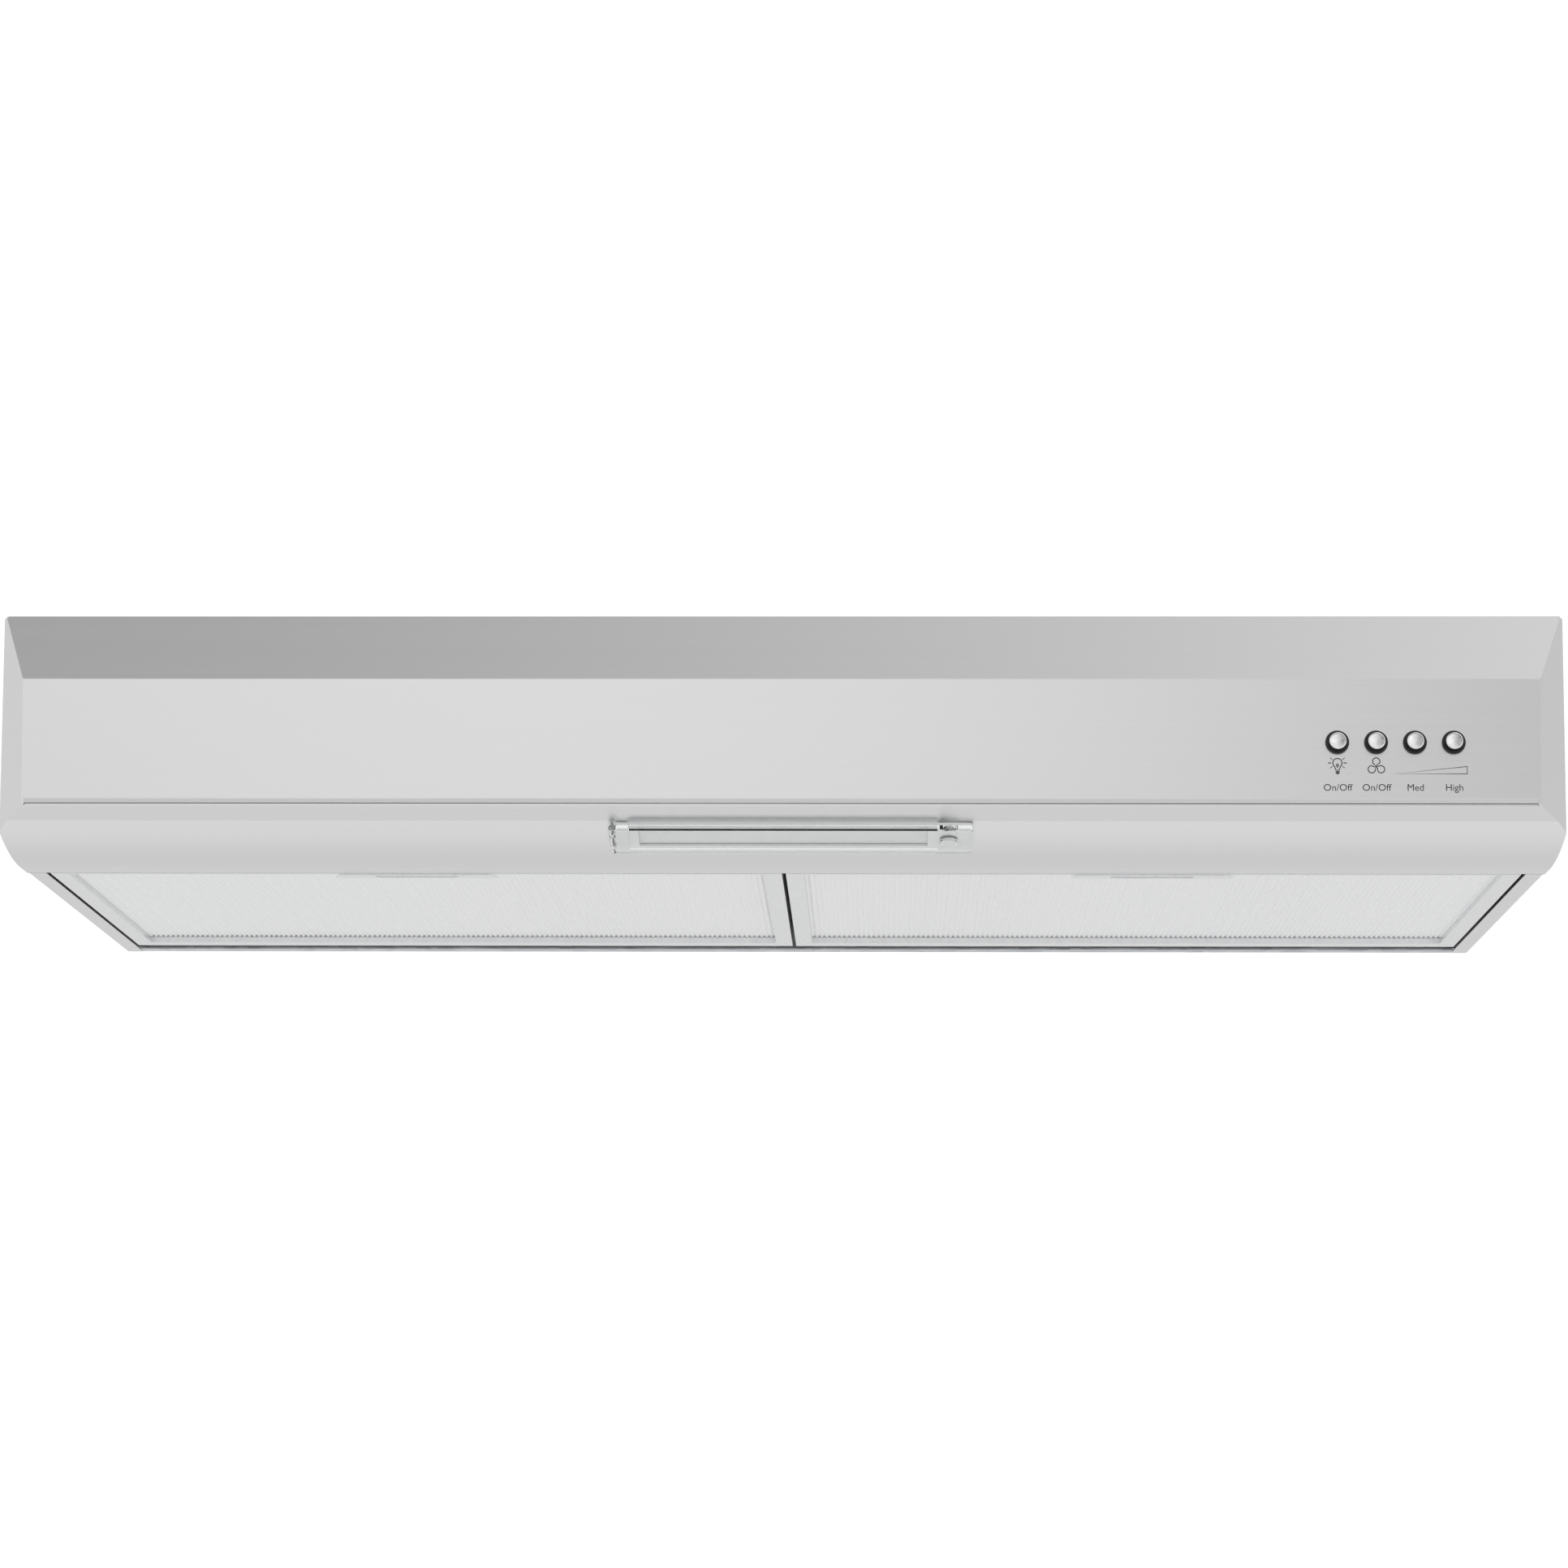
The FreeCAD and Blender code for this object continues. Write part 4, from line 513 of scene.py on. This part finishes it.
def arc(x, y, radius, start, end, count=20):
    """Points round a circle, from one angle to another."""
    angles = [math.radians(start + (end - start) * n / (count - 1)) for n in range(count)]
    return [(x + radius * math.cos(a), y + radius * math.sin(a)) for a in angles]


def ink_word(text, x, y, size):
    """A word centred at x, y."""
    fresh()
    bpy.ops.object.text_add(location=(x * MM, y * MM, 0.0))
    word = bpy.context.object
    word.data.body = text
    word.data.align_x = "CENTER"
    word.data.size = size * MM
    word.data.extrude = INK
    bpy.ops.object.convert(target="MESH")
    settle(word)
    return word


print("line width", round(2 * LINE / MM, 2), "mm")

# %% The lamp, the fan, the wedge and the words
PITCH = (middle_of("button_fan_cap") - middle_of("button_lamp_cap")).x / MM
LAMP_ICON_Y, FAN_ICON_Y = -9.9, -11.7
GLASS_RADIUS, NECK_HALF, NECK_DROP = 2.2, 0.85, 3.5
RAY_DISTANCE, RAY_LENGTH = 3.7, 1.5
WEDGE_LEFT, WEDGE_RIGHT, WEDGE_LOW, WEDGE_HIGH = 8.3, 6.2, -15.2, -11.6
PRINT_DROP = 0.012
LABEL_Y, LABEL_SIZE = -23.4, 4.7
BLADE_OUT, BLADE_RADIUS, BLADE_BEND, BLADE_NECK = 2.55, 1.75, 20, 0.9
marks = []
glass = arc(0, LAMP_ICON_Y, GLASS_RADIUS, -52, 232)
glass += [(-NECK_HALF, LAMP_ICON_Y - NECK_DROP), (NECK_HALF, LAMP_ICON_Y - NECK_DROP)]
marks.append(ink_loop(glass))
filament = arc(0, LAMP_ICON_Y - 1.0, 0.5, -60, 240, 12) + [(0, LAMP_ICON_Y - 2.6)]
marks.append(ink_loop(filament))
for drop, length in ((4.2, 1.9), (4.75, 1.9), (5.3, 1.2)):
    marks.append(ink_bar(0, LAMP_ICON_Y - drop, length, 0))
for angle in (-35, 0, 35, 145, 180, 215):
    x, y = arc(0, LAMP_ICON_Y, RAY_DISTANCE, angle, angle, 2)[0]
    marks.append(ink_bar(x, y, RAY_LENGTH, angle))
for turn_by in (90, 210, 330):
    bend = math.radians(turn_by)
    x, y = BLADE_OUT * math.cos(bend), BLADE_OUT * math.sin(bend)
    blade = arc(PITCH + x, FAN_ICON_Y + y, BLADE_RADIUS, turn_by + 150, turn_by - 120)
    elbow = math.radians(turn_by - BLADE_BEND)
    inner = (PITCH + BLADE_NECK * math.cos(elbow), FAN_ICON_Y + BLADE_NECK * math.sin(elbow))
    marks.append(ink_loop([(PITCH, FAN_ICON_Y)] + blade + [inner]))
wedge_end = 3 * PITCH + WEDGE_RIGHT
wedge = [(PITCH + WEDGE_LEFT, WEDGE_LOW), (wedge_end, WEDGE_LOW), (wedge_end, WEDGE_HIGH)]
marks.append(ink_loop(wedge))
for number, text in enumerate(("On/Off", "On/Off", "Med", "High")):
    marks.append(ink_word(text, number * PITCH, LABEL_Y, LABEL_SIZE))
print_piece = join_all(marks, "fascia_print")
print_origin = face_point("front_panel", middle_of("button_lamp_cap") - upward * PRINT_DROP)
print_origin += upward * PRINT_DROP + outward * 1.5 * INK
settle(print_piece, fascia_frame(print_origin))
wear(print_piece, None, ink)
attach(print_piece, "casing")
print("print", len(print_piece.data.polygons), "faces")

# %% [markdown]
# ## The push buttons
# Each button is a black stem with a turned metal disc on its end. Turning leaves fine circles, and
# light falls across them in bright cones, as on a pan lid. That look is anisotropy round the
# middle of the disc, so the finish bends its highlights along a tangent that runs in circles.

# %% Spun metal
def spun(name):
    """Turned metal with circular tool marks."""
    finish, tree, shader = start_finish(name, (0.86, 0.86, 0.87), 0.24, 1.0)
    shader.inputs["Anisotropic"].default_value = 0.75
    circle = add_node(tree, "ShaderNodeTangent", direction_type="RADIAL", axis="Y")
    tree.links.new(circle.outputs[0], shader.inputs["Tangent"])
    cloud = noise_at(tree, (700.0, 700.0, 700.0), 2.0)
    tree.links.new(ranged(tree, cloud, 0.18, 0.32), shader.inputs["Roughness"])
    return finish


spun_metal = spun("spun_metal")
CAP_RIM, CAP_DOME, CAP_BEVEL = 0.45 * MM, 0.12 * MM, 0.25 * MM
# How far a face must look out of the fascia to be the cap's face, and to be bare metal.
FACE_PART = 0.9
RIM_PART = 0.3
print("tool marks ready")


# %% Four caps
def top_faces(piece, limit):
    """Select the faces that look out of the fascia and lie above a height."""
    bpy.ops.object.mode_set(mode="OBJECT")
    for face in piece.data.polygons:
        face.select = face.normal.z > FACE_PART and face.center.z > limit
    for edge in piece.data.edges:
        edge.select = False
    bpy.ops.object.mode_set(mode="EDIT")


def button_cap(name):
    """A cylinder with a softened rim and a shallow domed face."""
    low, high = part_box(name)
    radius = (high.x - low.x) / 2
    face = face_point(name, middle_of(name))
    length = ((high - low).y - 2 * radius * abs(outward.z)) / abs(outward.y)
    fresh()
    bpy.ops.mesh.primitive_cylinder_add(vertices=64, radius=radius, depth=length,
                                        location=(0, 0, -length / 2))
    cap = bpy.context.object
    settle(cap)
    bpy.ops.object.mode_set(mode="EDIT")
    bpy.ops.mesh.select_mode(type="FACE")
    top_faces(cap, -length / 4)
    bpy.ops.mesh.bevel(offset=CAP_BEVEL, segments=3, affect="EDGES")
    top_faces(cap, -CAP_BEVEL / 2)
    bpy.ops.mesh.inset(thickness=CAP_RIM)
    for step in range(3):
        bpy.ops.mesh.inset(thickness=radius / 5)
        bpy.ops.transform.translate(value=(0, 0, -CAP_DOME / 2))
    bpy.ops.object.mode_set(mode="OBJECT")
    cap.name = name + "_turned"
    bpy.ops.object.shade_smooth_by_angle(angle=math.radians(35))
    settle(cap, fascia_frame(face))
    wear(cap, None, spun_metal)
    cap.data.materials.append(finishes["black_plastic"])
    for face in cap.data.polygons:
        face.material_index = 0 if face.normal.dot(outward) > RIM_PART else 1
    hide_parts(name)
    return cap


for label in BUTTONS:
    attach(button_cap("button_" + label + "_cap"), "button_" + label)
print("caps", len(BUTTONS))

# %% [markdown]
# ## The filters' mesh
# Behind each frame lies expanded aluminium mesh, pressed into fine ribs that run from front to
# back. A grid primitive with six columns to each rib takes the pressed wave, Solidify gives it
# the thickness of the foil, and the diamond strands themselves are left to the finish, which
# paints a highlight on their edges and shade in the openings between them.

# %% Ribbed mesh
RIB_PITCH = 2.75 * MM
RIB_HEIGHT = 0.55 * MM
FOIL = 0.25 * MM
RIB_COLUMNS = 6


def ribbed_mesh(node):
    """A thin sheet with ribs from front to back, at the bottom of a filter's mesh pack."""
    low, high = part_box(node)
    wide, deep = high.x - low.x, high.y - low.y
    columns = RIB_COLUMNS * round(wide / RIB_PITCH)
    fresh()
    bpy.ops.mesh.primitive_grid_add(x_subdivisions=columns, y_subdivisions=2, size=1.0)
    sheet = bpy.context.object
    sheet.scale = (wide, deep, 1.0)
    sheet.location = ((low.x + high.x) / 2, (low.y + high.y) / 2, low.z + RIB_HEIGHT)
    settle(sheet)
    for vertex in sheet.data.vertices:
        turn = 2 * math.pi * (vertex.co.x - low.x) / RIB_PITCH
        vertex.co.z += RIB_HEIGHT * math.sin(turn)
    foil = sheet.modifiers.new("foil", "SOLIDIFY")
    foil.thickness = FOIL
    foil.offset = 1.0
    bpy.ops.object.modifier_apply(modifier=foil.name)
    bpy.ops.object.shade_smooth_by_angle(angle=math.radians(60))
    sheet.name = node + "_ribbed"
    wear(sheet, None, finishes["mesh"])
    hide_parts(node)
    return sheet


for side_name in ("left", "right"):
    ribbed = ribbed_mesh("filter_" + side_name + "_mesh")
    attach(ribbed, "filter_" + side_name)
    print(ribbed.name, len(ribbed.data.polygons), "faces")
